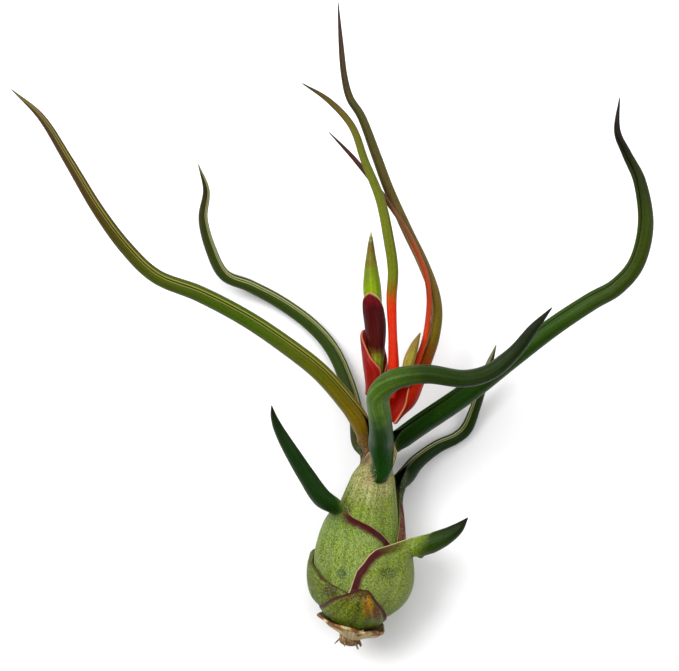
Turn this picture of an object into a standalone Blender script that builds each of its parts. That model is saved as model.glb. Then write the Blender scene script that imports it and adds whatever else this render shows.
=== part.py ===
"""Bulbosa air plant (Tillandsia bulbosa), lying on a surface as picked.

Every leaf is one closed solid: a sheath that wraps the bulb and the rolled blade that grows
out of it. The sheaths are stacked outward from the middle like the layers of an onion.
Written in millimetres and turned into metres at the end. +Z is up, +X is right in the
photograph and +Y is up in the photograph. The origin is the middle of the small flat spot
under the bulb.
"""
import math

import bmesh
import bpy
from mathutils import Vector

MM = 0.001

# Bulb: its axis runs from the old stub to the neck, a little above the surface
BULB_BASE = Vector((-2.8, -17.8, 11.6))
BULB_NECK = Vector((3.5, 24.5, 14.2))

# Skin this close to the surface is pressed flat on it
PRESSED = 0.4

# Half section of the hollow heart of the bulb: (distance up the axis, radius) at each station.
# The first pair only sets the direction at station 0, square to the stem.
HEART = [(9.2, 0.9), (8.4, 2.9), (9.3, 4.9), (12.6, 6.6), (18.5, 6.7), (24.0, 6.0),
         (30.5, 4.5), (36.5, 3.1), (42.5, 1.8), (48.0, 1.5)]

LEAF_GAP = 0.4
SHEATH_THICKNESS = 0.82
MARGIN_THICKNESS = 0.6
DRAPE_ANGLE = 32.0
DRAPE_STATIONS = 0.7
BASE_THICKNESS = 0.6

OPEN_REACH = 88.0
OPEN_GAIN = 15.0
ROLLED_REACH = 164.0
WALL = 0.62


def smooth(low, high, value):
    """Ease from 0 at low to 1 at high."""
    t = min(1.0, max(0.0, (value - low) / (high - low)))
    return t * t * (3.0 - 2.0 * t)


def curve_at(points, where):
    """Point on a smooth curve through the points; where counts points from 0."""
    last = len(points) - 1
    k = min(last - 1, max(0, int(math.floor(where))))
    t = where - k
    now = points[k]
    after = points[k + 1]
    before = points[k - 1] if k > 0 else [2 * a - b for a, b in zip(now, after)]
    later = points[k + 2] if k + 2 <= last else [2 * b - a for a, b in zip(now, after)]
    out = []
    for p0, p1, p2, p3 in zip(before, now, after, later):
        out.append(0.5 * (2 * p1 + (p2 - p0) * t + (2 * p0 - 5 * p1 + 4 * p2 - p3) * t * t
                          + (3 * p1 - p0 - 3 * p2 + p3) * t ** 3))
    return out


def table_at(rows, where):
    """Straight-line lookup in rows of (key, value, value...)."""
    if where <= rows[0][0]:
        return rows[0][1:]
    for low, high in zip(rows, rows[1:]):
        if where <= high[0]:
            t = (where - low[0]) / (high[0] - low[0])
            return [a + (b - a) * t for a, b in zip(low[1:], high[1:])]
    return rows[-1][1:]


AXIS = (BULB_NECK - BULB_BASE).normalized()
RIGHT = AXIS.cross(Vector((0, 0, 1))).normalized()
TOWARD = RIGHT.cross(AXIS).normalized()


def outward(angle):
    """Direction away from the bulb's axis: 0 faces up, 90 right, 180 down."""
    turn = math.radians(angle)
    return TOWARD * math.cos(turn) + RIGHT * math.sin(turn)


def bulb_point(station, angle, height):
    """Point at a height over the heart of the bulb, measured square to its skin."""
    along, radius = curve_at(HEART, station + 1.0)
    step = 0.02
    along2, radius2 = curve_at(HEART, station + 1.0 + step)
    run = math.hypot(along2 - along, radius2 - radius)
    up = -(radius2 - radius) / run
    out = (along2 - along) / run
    return (BULB_BASE + AXIS * (along + height * up)
            + outward(angle) * (radius + height * out))


# Leaves from the inside out. margins: (station, left edge, right edge) in degrees round the
# bulb. bulges: (station, angle, height, reach in stations, reach in degrees).
# joins: stations between which the sheath turns into the blade.
# slant: (stations by which the edges run ahead, from which station, in full from).
# foot: the blade's (angle, lift, radius) over the layers under it, at those two stations.
# midline: the rest of the blade's (x, y, z, radius), to its tip.
# back: (midline place, direction of its outer side). The foot's places are 0 and 1.
LEAVES = [
    {"name": "leaf_right_long", "colour": (0.030, 0.085, 0.012),
     "margins": [(0, 5, 225), (5, 5, 222), (6.3, 10, 210), (7.2, 20, 165), (7.9, 40, 140)],
     "joins": (6.4, 7.5),
     "foot": [(92, 0.3, 2.6), (90, 0.9, 2.5)],
     "midline": [(9.9, 29.0, 15.9, 2.5),
                 (14.7, 32.6, 19.4, 2.55), (24.0, 39.2, 25.0, 2.5), (33.9, 47.1, 29.0, 2.3),
                 (43.5, 54.6, 32.0, 2.2), (51.6, 60.1, 34.5, 2.1), (57.3, 63.5, 36.5, 2.0),
                 (61.6, 68.9, 38.5, 1.9), (63.3, 77.4, 41.0, 1.8), (61.8, 86.6, 43.0, 1.45),
                 (58.7, 93.0, 44.0, 1.1), (56.5, 98.1, 45.0, 0.75), (56.9, 105.3, 46.0, 0.3)],
     "back": [(0, (1.0, 0.0, 0.0)), (2, (0.7, -0.3, -0.4)), (14, (0.5, -0.5, -0.7))]},
    {"name": "leaf_left_long", "colour": (0.085, 0.110, 0.015),
     "margins": [(0, -215, 15), (5, -205, 5), (6.3, -185, -10), (7.2, -150, -40), (7.9, -130, -60)],
     "joins": (6.4, 7.6),
     "foot": [(-98, 0.3, 2.5), (-98, 0.8, 2.4)],
     "midline": [(-0.4, 32.2, 17.0, 2.3),
                 (-3.5, 36.9, 19.0, 2.2), (-9.6, 43.9, 22.0, 2.15), (-16.9, 49.8, 25.0, 2.1),
                 (-26.6, 56.4, 28.0, 2.0), (-37.2, 62.0, 30.0, 1.9), (-46.9, 65.9, 31.0, 1.7),
                 (-53.6, 72.2, 32.0, 1.6), (-59.9, 80.9, 35.0, 1.4), (-66.3, 91.9, 38.0, 1.15),
                 (-72.0, 101.3, 41.0, 0.85), (-78.7, 107.6, 42.0, 0.3)],
     "back": [(0, (-1.0, 0.0, 0.0)), (3, (-0.6, -0.3, -0.7)), (13, (-0.2, -0.2, -0.9))]},
    {"name": "leaf_front", "colour": (0.045, 0.105, 0.020),
     "margins": [(0, -125, 110), (5, -116, 104), (6.1, -98, 96), (6.5, -74, 80), (6.9, -48, 56),
                 (7.3, -34, 46)],
     "open": 66.0,
     "joins": (5.3, 6.4), "slant": (1.2, 3.4, 5.2), "hold": 0.5,
     "foot": [(4, -4.2, 5.0), (16, 0.8, 2.95)],
     "midline": [(4.3, 27.2, 22.4, 2.95),
                 (4.3, 30.4, 27.0, 2.75), (3.9, 34.2, 32.0, 2.65), (3.5, 38.9, 36.2, 2.6),
                 (6.0, 42.0, 39.0, 2.5), (9.8, 43.4, 39.8, 2.3), (15.0, 43.8, 39.6, 2.15),
                 (22.8, 42.8, 38.6, 2.0), (29.0, 44.5, 38.0, 1.9), (34.2, 48.9, 39.0, 1.6),
                 (38.1, 54.0, 41.0, 1.15), (42.2, 58.8, 43.0, 0.3)],
     "back": [(0, (0, 0, 1)), (3, (0, -0.5, 0.7)), (5, (-0.5, -0.5, 0.6)), (7, (0, -0.6, 0.8)),
              (13, (0.2, -0.7, 0.7))]},
    {"name": "leaf_right_back", "colour": (0.030, 0.085, 0.015),
     "margins": [(0, 62, 185), (4, 60, 180), (4.6, 74, 168), (5.1, 94, 146), (5.9, 100, 138)],
     "joins": (4.4, 5.7),
     "foot": [(119, 0.3, 2.6), (120, 1.1, 2.3)],
     "midline": [(10.6, 19.4, 7.4, 2.15),
                 (13.4, 22.6, 4.9, 1.85), (18.1, 25.9, 2.4, 1.6), (22.6, 28.0, 1.4, 1.45),
                 (25.2, 30.4, 1.6, 1.5), (27.0, 35.0, 3.4, 1.3), (28.4, 39.8, 6.8, 1.15),
                 (29.9, 45.3, 11.0, 0.9), (31.4, 50.3, 15.0, 0.3)],
     "back": [(0, (0.85, 0.0, -0.5)), (3, (0.4, -0.5, -0.7)), (9, (0.3, -0.3, -0.8))]},
    {"name": "leaf_left_back", "colour": (0.040, 0.095, 0.015),
     "margins": [(0, -238, -124), (3.6, -236, -124), (4.4, -206, -124), (5.6, -204, -128),
                 (6.2, -188, -136), (7.0, -182, -140)],
     "joins": (5.6, 6.8),
     "foot": [(-162, 0.4, 2.4), (-160, 0.9, 2.1)],
     "midline": [(-0.6, 27.3, 7.0, 1.9),
                 (-1.2, 32.9, 4.6, 1.8), (-3.0, 40.0, 3.0, 1.75), (-6.6, 48.5, 2.0, 1.7),
                 (-11.8, 54.8, 1.6, 1.65), (-19.2, 60.3, 2.2, 1.6), (-26.6, 64.3, 4.5, 1.5),
                 (-32.6, 66.9, 7.5, 1.4), (-35.7, 73.1, 11.0, 1.3), (-37.2, 79.9, 15.0, 1.1),
                 (-36.3, 86.3, 18.0, 0.8), (-38.0, 92.2, 21.0, 0.3)],
     "back": [(0, (-0.35, 0.0, -0.95)), (3, (-0.7, -0.2, -0.7)), (13, (-0.5, -0.3, -0.7))]},
    {"name": "leaf_left_horn", "colour": (0.025, 0.090, 0.022),
     "margins": [(0, -158, 30), (1.2, -154, 40), (2, -143, 44), (3.8, -143, 42), (4.0, -136, 34),
                 (4.15, -128, 24), (4.3, -118, 11), (4.46, -106, -4), (4.6, -97, -18),
                 (4.75, -89, -32)],
     "bulges": [(3.2, -80, 0.8, 1.0, 50), (4.4, 5, 0.15, 0.4, 30)],
     "joins": (3.7, 4.75), "hold": 0.62,
     "foot": [(-62, 0.0, 3.6), (-58, 0.2, 2.75)],
     "midline": [(-9.4, 15.1, 21.3, 2.35), (-12.8, 20.1, 24.0, 2.05), (-16.3, 25.9, 27.0, 1.7),
                 (-18.9, 30.6, 29.0, 1.25), (-20.2, 33.9, 31.0, 0.75), (-20.7, 36.6, 33.0, 0.3)],
     "back": [(0, (-0.85, -0.1, 0.5)), (2, (-0.8, -0.4, 0.45)), (7, (-0.6, -0.5, 0.2))]},
    {"name": "leaf_left_low", "colour": (0.170, 0.230, 0.045),
     "margins": [(0, -200, -4), (1.0, -180, -4), (1.5, -158, -4), (1.86, -148, -4),
                 (1.93, -146, -8), (2.0, -145, -20), (2.07, -144, -31), (2.16, -143, -41),
                 (2.32, -143, -53), (2.48, -143, -70), (2.62, -144, -94), (2.76, -147, -118),
                 (2.9, -150, -132), (3.2, -152, -138)],
     "bulges": [(1.6, -78, 0.5, 0.6, 45), (2.3, -60, 0.35, 0.4, 40)],
     "joins": (2.5, 3.2),
     "foot": [(-142, 0.0, 1.6), (-145, 0.5, 1.2)],
     "midline": [(-7.0, 4.9, 2.7, 1.2), (-6.2, 7.8, 2.4, 0.8), (-5.6, 10.4, 2.4, 0.4)],
     "back": [(0, (-0.7, 0.0, -0.75)), (2, (-0.5, -0.3, -0.7)), (5, (-0.3, -0.2, -0.9))]},
    {"name": "leaf_right_low", "colour": (0.110, 0.200, 0.050),
     "margins": [(0, -28, 168), (1, -22, 176), (2.05, -9, 186), (2.68, -5, 187), (3.05, 2, 187),
                 (3.2, 4, 176), (3.36, 7, 160), (3.6, 14, 148), (3.8, 22, 137), (3.98, 32, 126)],
     "bulges": [(2.3, 84, 1.4, 0.9, 50)],
     "joins": (2.85, 3.65), "slant": (0.35, 2.4, 3.1), "hold": 0.42,
     "foot": [(76, -0.4, 4.8), (76, 1.6, 3.2)],
     "midline": [(16.4, 4.3, 18.0, 2.4), (19.6, 5.9, 19.4, 1.95), (22.3, 7.9, 20.8, 1.3),
                 (24.4, 10.4, 22.6, 0.3)],
     "back": [(0, (0.7, -0.4, 0.5)), (1, (0.5, -0.6, 0.6)), (2, (0.3, -0.8, 0.5)),
              (6, (0.4, -0.8, 0.3))]},
    {"name": "leaf_basal", "colour": (0.160, 0.200, 0.030),
     "margins": [(0, -78, 60), (0.8, -72, 58), (1.2, -58, 50), (1.4, -45, 44), (1.55, -37, 38),
                 (1.7, -31, 32), (1.9, -20, 22), (2.05, -7, 16), (2.2, 3, 10)],
     "bulges": [(0.4, 55, 0.8, 0.6, 50)],
     "joins": None},
    {"name": "dry_sheath", "colour": (0.560, 0.430, 0.280), "spread": 6.0,
     "margins": [(0, -165, 145), (0.6, -158, 138), (1.2, -145, 125)],
     "rim": [(-1.0, 0.6), (-0.6, 0.7), (-0.35, 0.85), (0.0, 0.98), (0.35, 0.8), (0.6, 0.66),
             (1.0, 0.6)],
     "bulges": [(0.3, 62, 1.3, 0.5, 55), (0.2, -30, 0.3, 0.6, 60)],
     "joins": None},
]

# Every sheath has its rows at the same stations, so that the layers follow one another
SHEATH_ROWS = [0.0, 0.4, 0.8, 1.2, 1.6, 1.85, 2.1, 2.4, 2.8, 3.4, 4.2, 4.9, 5.6, 6.2]

# Ring of a leaf: points on its outer face and as many on its inner face
WIDE_POINTS = 15

SLIM_POINTS = 8

# One station is about this long near the top of the bulb
STATION_MM = 5.0


def bulge(leaf, station, angle):
    """How far the leaf swells away from its bed."""
    total = 0.0
    for at, side, height, reach, spread in leaf.get("bulges", []):
        away = (angle - side + 180.0) % 360.0 - 180.0
        total += height * math.exp(-((station - at) / reach) ** 2 - (away / spread) ** 2)
    return total


def thickness(station):
    """A sheath is thin where it grips the stem."""
    return BASE_THICKNESS + (SHEATH_THICKNESS - BASE_THICKNESS) * smooth(0.0, 1.5, station)


def cover(leaf, station, angle):
    """1 where the leaf lies, easing to 0 past its edges, so that outer leaves drape over it."""
    left, right = table_at(leaf["margins"], station)
    middle = 0.5 * (left + right)
    half = 0.5 * (right - left)
    away = abs((angle - middle + 180.0) % 360.0 - 180.0) - half
    past = station - leaf["margins"][-1][0]
    return (1.0 - smooth(0.0, DRAPE_ANGLE, away)) * (1.0 - smooth(0.0, DRAPE_STATIONS, past))


def bed(order, station, angle):
    """Height of the layers that lie under leaf number order."""
    spread = LEAVES[order].get("spread", 0.0)
    if spread > 0.0:
        return max(pile(order, station, angle + turn) for turn in (-spread, 0.0, spread))
    return pile(order, station, angle)


def pile(order, station, angle):
    """The layers under leaf number order, added up at one place."""
    height = 0.0
    for leaf in LEAVES[:order]:
        layer = LEAF_GAP + thickness(station) + bulge(leaf, station, angle)
        height += cover(leaf, station, angle) * layer
    return height


def sheath_ring(order, row, climb=None):
    """Outer points from the left edge to the right edge, and the inner points under them.

    A slanted leaf's edges run ahead of its middle. climb: for a torn edge, the row's share of
    the way up to it.
    """
    leaf = LEAVES[order]
    amount, start, full = leaf.get("slant", (0.0, 0.0, 1.0))
    slant = amount * smooth(start, full, row)
    outer = []
    inner = []
    for i in range(WIDE_POINTS):
        share = -1.0 + 2.0 * i / (WIDE_POINTS - 1)
        station = row + slant * share * share
        if climb is not None:
            station = climb * table_at(leaf["rim"], share)[0]
        left, right = table_at(leaf["margins"], station)
        angle = 0.5 * (left + right) + 0.5 * (right - left) * share
        under = bed(order, station, angle) + LEAF_GAP
        edge = smooth(0.75, 1.0, abs(share))
        wall = thickness(station) * (1.0 - edge) + MARGIN_THICKNESS * edge
        inner.append(bulb_point(station, angle, under + bulge(leaf, station, angle)))
        outer.append(bulb_point(station, angle, under + bulge(leaf, station, angle) + wall))
    return outer, inner


def blade_ring(midline, back, where, count, wall_share, reach, lead=0.0):
    """Section of a rolled blade: a tube with a slit; reach is the half angle that it covers.

    lead: how far its edges run ahead of its middle, in millimetres.
    """
    x, y, z, radius = curve_at(midline, where)
    radius = max(0.3, radius)
    centre = Vector((x, y, z))
    step = 0.05
    ahead = Vector(curve_at(midline, min(where + step, len(midline) - 1))[:3])
    behind = Vector(curve_at(midline, max(where - step, 0))[:3])
    along = (ahead - behind).normalized()
    out = Vector(table_at([(at, *direction) for at, direction in back], where))
    out = (out - along * out.dot(along)).normalized()
    side = along.cross(out).normalized()
    wall = max(WALL, radius * wall_share)
    hollow = max(radius - wall, radius * 0.2)
    outer = []
    inner = []
    for i in range(count):
        share = -1.0 + 2.0 * i / (count - 1)
        turn = math.radians(share * reach)
        spoke = out * math.cos(turn) + side * math.sin(turn)
        shifted = centre + along * lead * share * share
        outer.append(shifted + spoke * radius)
        inner.append(shifted + spoke * hollow)
    return outer, inner


def blade_line(order):
    """The blade's whole midline: its foot on the bulb, then its free stretch."""
    leaf = LEAVES[order]
    line = []
    for station, (angle, lift, radius) in zip(leaf["joins"], leaf["foot"]):
        point = bulb_point(station, angle, bed(order, station, angle) + LEAF_GAP + lift)
        line.append((*point, radius))
    return line + leaf["midline"]


def blend(first, second, share):
    """Mix two rings point by point."""
    return [[a.lerp(b, share) for a, b in zip(one, two)] for one, two in zip(first, second)]


def add_ring(mesh, ring):
    """Vertices of a ring: outer points, then inner points on the way back."""
    outer, inner = ring
    for point in outer + inner:
        if point.z < PRESSED:
            point.z = 0.0
    return [mesh.verts.new(point * MM) for point in outer + inner[::-1]]


def skin(mesh, low, high):
    """Faces between two rings of the same size, or from a ring to one with half its steps."""
    if len(low) == len(high):
        for i in range(len(low)):
            j = (i + 1) % len(low)
            mesh.faces.new((low[i], low[j], high[j], high[i]))
        return
    wide = len(low) // 2
    slim = len(high) // 2
    for half in range(2):
        for i in range(slim - 1):
            a, b, c = low[half * wide + 2 * i:half * wide + 2 * i + 3]
            d, e = high[half * slim + i:half * slim + i + 2]
            mesh.faces.new((a, b, d))
            mesh.faces.new((b, e, d))
            mesh.faces.new((b, c, e))
        last = low[half * wide + wide - 1]
        first = low[((half + 1) * wide) % len(low)]
        top_last = high[half * slim + slim - 1]
        top_first = high[((half + 1) * slim) % len(high)]
        mesh.faces.new((last, first, top_first, top_last))


def cap(mesh, ring):
    """Close a ring with a strip between its outer and inner points."""
    count = len(ring) // 2
    for i in range(count - 1):
        mesh.faces.new((ring[i], ring[i + 1], ring[-2 - i], ring[-1 - i]))


def finish(mesh, name, colour, roughness=0.5):
    """Turn the mesh into a smooth-shaded object with its own material."""
    bmesh.ops.recalc_face_normals(mesh, faces=mesh.faces[:])
    for face in mesh.faces:
        face.smooth = True
    data = bpy.data.meshes.new(name)
    mesh.to_mesh(data)
    mesh.free()
    material = bpy.data.materials.new(name + "_skin")
    material.use_nodes = True
    shader = material.node_tree.nodes["Principled BSDF"]
    shader.inputs["Base Color"].default_value = (*colour, 1.0)
    shader.inputs["Roughness"].default_value = roughness
    shader.inputs["Metallic"].default_value = 0.0
    data.materials.append(material)
    thing = bpy.data.objects.new(name, data)
    bpy.context.collection.objects.link(thing)
    return thing


def steps(low, high, count):
    """Evenly spaced values from low to high."""
    return [low + (high - low) * i / count for i in range(count + 1)]


def build_leaf(order):
    """One leaf: sheath rows, rows where it rolls up, then blade rows to the tip."""
    leaf = LEAVES[order]
    mesh = bmesh.new()
    top = leaf["margins"][-1][0]
    rings = []
    if leaf["joins"] is None:
        for station in steps(0.0, top, round(top / 0.3)):
            climb = station / top if "rim" in leaf else None
            rings.append(sheath_ring(order, station, climb))
    else:
        start, end = leaf["joins"]
        line = blade_line(order)
        open_reach = leaf.get("open", OPEN_REACH)
        lead = leaf.get("slant", (0.0,))[0] * STATION_MM
        for station in [row for row in SHEATH_ROWS if row < start - 0.1]:
            rings.append(sheath_ring(order, station))
        for share in steps(0.0, 1.0, 7):
            station = start + (end - start) * share
            wide = sheath_ring(order, station)
            reach = open_reach + OPEN_GAIN * share
            rolled = blade_ring(line, leaf["back"], share, WIDE_POINTS, 0.12, reach, lead)
            rings.append(blend(wide, rolled, smooth(leaf.get("hold", 0.35), 1.0, share)))
        last = len(line) - 1
        for where in steps(1.0, last, round((last - 1) * 1.3))[1:]:
            wall_share = 0.12 + 0.58 * smooth(1.0, 4.5, where)
            reach = open_reach + OPEN_GAIN
            reach += (ROLLED_REACH - reach) * smooth(1.0, 3.0, where)
            rings.append(blade_ring(line, leaf["back"], where, SLIM_POINTS, wall_share, reach,
                                    lead * (1.0 - smooth(1.0, 3.5, where))))
    rings = [add_ring(mesh, ring) for ring in rings]
    for low, high in zip(rings, rings[1:]):
        skin(mesh, low, high)
    cap(mesh, rings[0])
    cap(mesh, rings[-1])
    return finish(mesh, leaf["name"], leaf["colour"])


# Bract leaves of the flower stem: slim rolled leaves whose red sheaths open toward the stem.
# midline: (x, y, z, radius). open_to: midline place where the open sheath has rolled up.
BRACT_LEAVES = [
    {"name": "bract_leaf_tall", "colour": (0.380, 0.030, 0.010), "open_to": 4.0,
     "midline": [(6.2, 32.6, 15.6, 2.0), (7.6, 35.2, 15.8, 2.6), (9.9, 38.4, 16.6, 3.2),
                 (12.2, 42.2, 18.2, 2.5), (14.4, 46.8, 20.2, 1.9), (16.4, 51.9, 22.2, 1.45),
                 (17.2, 57.7, 23.6, 1.3), (16.3, 63.0, 25.0, 1.3), (13.8, 69.4, 26.0, 1.3),
                 (10.0, 77.2, 27.0, 1.25), (6.1, 85.9, 27.0, 1.2), (3.3, 93.4, 27.0, 1.15),
                 (-0.1, 102.3, 28.0, 1.0), (-2.9, 106.8, 29.0, 0.9), (-4.2, 111.8, 31.0, 0.75),
                 (-4.9, 118.4, 33.0, 0.6), (-5.6, 127.8, 36.0, 0.3)],
     "back": [(0, (0.5, -0.3, -0.8)), (4, (0.8, -0.2, -0.5)), (8, (0.7, 0.2, -0.6)),
              (16, (0.4, 0.2, -0.8))]},
    {"name": "bract_leaf_mid", "colour": (0.650, 0.070, 0.010), "open_to": 2.0,
     "midline": [(6.4, 38.0, 22.0, 1.1), (7.0, 41.5, 22.8, 1.3), (7.2, 45.5, 23.4, 1.3),
                 (7.0, 52.6, 24.2, 1.05), (6.7, 60.7, 25.4, 1.2), (7.0, 67.5, 27.4, 1.25),
                 (6.0, 74.3, 29.4, 1.25), (4.0, 83.4, 31.4, 1.15), (0.5, 91.9, 33.4, 1.0),
                 (-2.4, 99.7, 35.2, 0.85), (-7.6, 105.4, 37.0, 0.65), (-13.7, 109.3, 38.0, 0.3)],
     "back": [(0, (0.6, 0.3, 0.7)), (4, (0.7, 0.0, 0.6)), (11, (0.7, 0.2, -0.5))]},
    {"name": "bract_leaf_slim", "colour": (0.480, 0.080, 0.020), "open_to": 2.0,
     "midline": [(10.0, 40.6, 20.9, 0.8), (11.2, 43.4, 21.8, 0.85), (12.8, 47.0, 22.9, 0.8),
                 (14.1, 50.6, 24.0, 0.7), (14.9, 54.6, 24.9, 0.65), (15.3, 60.7, 26.9, 0.62),
                 (14.5, 66.2, 28.4, 0.6), (12.2, 72.1, 29.2, 0.6), (9.1, 78.0, 29.6, 0.6),
                 (5.6, 83.2, 29.2, 0.6), (1.7, 88.4, 29.6, 0.6), (-2.6, 93.6, 30.0, 0.5),
                 (-7.7, 98.9, 30.4, 0.3)],
     "back": [(0, (0.7, -0.3, 0.5)), (6, (0.5, 0.0, -0.8)), (12, (0.5, 0.2, -0.8))]},
]

# Flower spikes: bracts wrapped round one another. rows: (place along the spike, gap to the
# spike's line, half angle covered in degrees). The innermost bract is closed like a bud.
SPIKE_LINE = [(3.1, 41.0, 20.2), (3.15, 49.1, 21.0), (3.0, 56.1, 21.6), (2.3, 63.0, 22.2),
              (2.0, 70.0, 22.8), (2.0, 76.5, 23.2)]
SPIKE_BRACTS = [
    {"name": "bract_green", "colour": (0.200, 0.430, 0.010), "back": (0.0, 0.0, 1.0),
     "rows": [(0.1, 0.5, 168), (0.6, 0.85, 168), (1.0, 1.05, 168), (1.6, 1.45, 168),
              (2.3, 1.85, 168), (2.8, 2.1, 168), (3.2, 2.05, 168), (3.7, 1.6, 168),
              (4.2, 1.05, 168), (4.6, 0.65, 168), (5.0, 0.3, 168)]},
    {"name": "bract_maroon", "colour": (0.110, 0.004, 0.008), "back": (-0.25, -0.1, 1.0),
     "rows": [(0.15, 0.95, 160), (0.6, 1.25, 155), (1.0, 1.45, 146), (1.5, 1.8, 130),
              (1.9, 2.0, 108), (2.15, 2.14, 90), (2.35, 2.24, 78), (2.52, 2.32, 66),
              (2.67, 2.4, 54), (2.8, 2.46, 39), (2.9, 2.5, 22), (2.97, 2.5, 8)]},
    {"name": "bract_red", "colour": (0.330, 0.010, 0.012), "back": (-0.72, 0.0, -0.69),
     "rows": [(-0.3, 1.85, 168), (0.0, 1.8, 168), (0.3, 2.1, 166), (0.5, 2.35, 156),
              (0.66, 2.5, 132), (0.85, 2.65, 106), (1.1, 2.85, 86), (1.35, 3.0, 62),
              (1.55, 3.05, 34), (1.66, 3.05, 12)]},
]
SIDE_SPIKE = {"name": "bract_side", "colour": (0.480, 0.400, 0.110),
              "midline": [(9.5, 41.2, 22.9, 0.5), (10.0, 43.4, 23.9, 1.0), (10.8, 46.8, 25.0, 1.3),
                          (12.0, 50.2, 26.0, 0.95), (13.3, 53.2, 27.0, 0.3)],
              "back": [(0, (0.2, -0.2, 1.0)), (4, (0.2, -0.2, 1.0))]}

# Flower stem: (x, y, z, radius), from the middle of the bulb to the foot of the spike
FLOWER_STEM = [(-0.9, -5.0, 13.0, 1.2), (0.6, 6.0, 13.9, 1.2), (2.4, 17.0, 14.5, 1.1),
               (3.6, 25.0, 15.1, 1.05), (4.4, 30.0, 16.4, 1.05), (4.6, 34.4, 18.0, 1.0),
               (3.8, 38.2, 19.4, 0.9), (3.1, 40.6, 20.1, 0.75)]

# Woody base of the plant: (distance up the bulb's axis, radius), and its wiry old roots:
# (angle round the axis, length, sideways lean)
STEM_BASE = [(-2.6, 1.5), (-2.0, 2.2), (0.0, 2.5), (3.0, 2.5), (7.0, 2.5), (10.0, 2.2), (11.6, 1.2)]
STEM_SIDES = 12
ROOTS = [(30, 2.0, 0.7), (110, 1.6, -0.5), (200, 1.5, 0.3), (300, 1.8, -0.8)]
ROOT_TAPER = 0.5


def build_bract_leaf(bract):
    """A rolled leaf whose foot is an open sheath."""
    mesh = bmesh.new()
    last = len(bract["midline"]) - 1
    rings = []
    for where in steps(0.0, last, round(last * 1.6)):
        wall_share = 0.25 + 0.45 * smooth(0.5 * bract["open_to"], bract["open_to"] + 1.0, where)
        reach = 95.0 + (ROLLED_REACH - 95.0) * smooth(0.5, bract["open_to"] + 0.5, where)
        ring = blade_ring(bract["midline"], bract["back"], where, SLIM_POINTS, wall_share, reach)
        rings.append(add_ring(mesh, ring))
    for low, high in zip(rings, rings[1:]):
        skin(mesh, low, high)
    cap(mesh, rings[0])
    cap(mesh, rings[-1])
    return finish(mesh, bract["name"], bract["colour"])


def build_spike_bract(bract):
    """A bract wrapped round the spike's line; the bud itself is nearly closed and solid."""
    mesh = bmesh.new()
    rings = []
    count = 11
    for place, radius, half in bract["rows"]:
        centre = Vector(curve_at(SPIKE_LINE, place))
        along = Vector(curve_at(SPIKE_LINE, place + 0.05)) - Vector(
            curve_at(SPIKE_LINE, place - 0.05))
        along.normalize()
        out = Vector(bract["back"])
        out = (out - along * out.dot(along)).normalized()
        side = along.cross(out)
        inner_radius = radius * 0.2 if bract is SPIKE_BRACTS[0] else radius
        outer_radius = radius if bract is SPIKE_BRACTS[0] else radius + MARGIN_THICKNESS
        outer = []
        inner = []
        for i in range(count):
            turn = math.radians(half * (-1.0 + 2.0 * i / (count - 1)))
            spoke = out * math.cos(turn) + side * math.sin(turn)
            outer.append(centre + spoke * outer_radius)
            inner.append(centre + spoke * inner_radius)
        rings.append(add_ring(mesh, (outer, inner)))
    for low, high in zip(rings, rings[1:]):
        skin(mesh, low, high)
    cap(mesh, rings[0])
    cap(mesh, rings[-1])
    return finish(mesh, bract["name"], bract["colour"])


def build_tube(name, colour, line, sides, rows):
    """A plain round stem along a line of (x, y, z, radius)."""
    mesh = bmesh.new()
    rings = []
    for where in steps(0.0, len(line) - 1, rows):
        x, y, z, radius = curve_at(line, where)
        centre = Vector((x, y, z))
        ahead = Vector(curve_at(line, min(where + 0.05, len(line) - 1))[:3])
        behind = Vector(curve_at(line, max(where - 0.05, 0))[:3])
        along = (ahead - behind).normalized()
        side = along.cross(Vector((0, 0, 1))).normalized()
        up = side.cross(along)
        ring = []
        for i in range(sides):
            turn = 2.0 * math.pi * i / sides
            ring.append(mesh.verts.new((centre + (side * math.cos(turn)
                                                  + up * math.sin(turn)) * radius) * MM))
        rings.append(ring)
    for low, high in zip(rings, rings[1:]):
        skin(mesh, low, high)
    mesh.faces.new(rings[0])
    mesh.faces.new(rings[-1])
    return finish(mesh, name, colour)


def build_stem_base():
    """Woody stub inside the leaf bases, with a few old roots drawn out of its lower end."""
    mesh = bmesh.new()
    rings = []
    for along, radius in STEM_BASE:
        ring = []
        for i in range(STEM_SIDES):
            point = BULB_BASE + AXIS * along + outward(360.0 * i / STEM_SIDES) * radius
            ring.append(mesh.verts.new(point * MM))
        rings.append(ring)
    for low, high in zip(rings, rings[1:]):
        skin(mesh, low, high)
    mesh.faces.new(rings[-1])
    mesh.faces.new(rings[0])
    mesh.normal_update()
    mesh.faces.ensure_lookup_table()
    for angle, length, lean in ROOTS:
        spot = (BULB_BASE + AXIS * -1.1 + outward(angle) * 2.3) * MM
        face = min(mesh.faces, key=lambda f: (f.calc_center_median() - spot).length)
        heading = (outward(angle) - AXIS * 1.2).normalized()
        for part in range(3):
            made = bmesh.ops.extrude_discrete_faces(mesh, faces=[face])
            face = made["faces"][0]
            bend = (heading + outward(angle + 90) * lean * part * 0.5 - AXIS * 0.2 * part)
            move = bend.normalized() * (length / 3.0) * MM
            middle = face.calc_center_median()
            for vert in face.verts:
                taper = 1.0 - ROOT_TAPER * (0.7 if part == 0 else 0.35)
                vert.co = middle + (vert.co - middle) * taper + move
    for vert in mesh.verts:
        vert.co.z = max(vert.co.z, 0.0)
    return finish(mesh, "stem_base", (0.140, 0.070, 0.030), 0.8)


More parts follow.
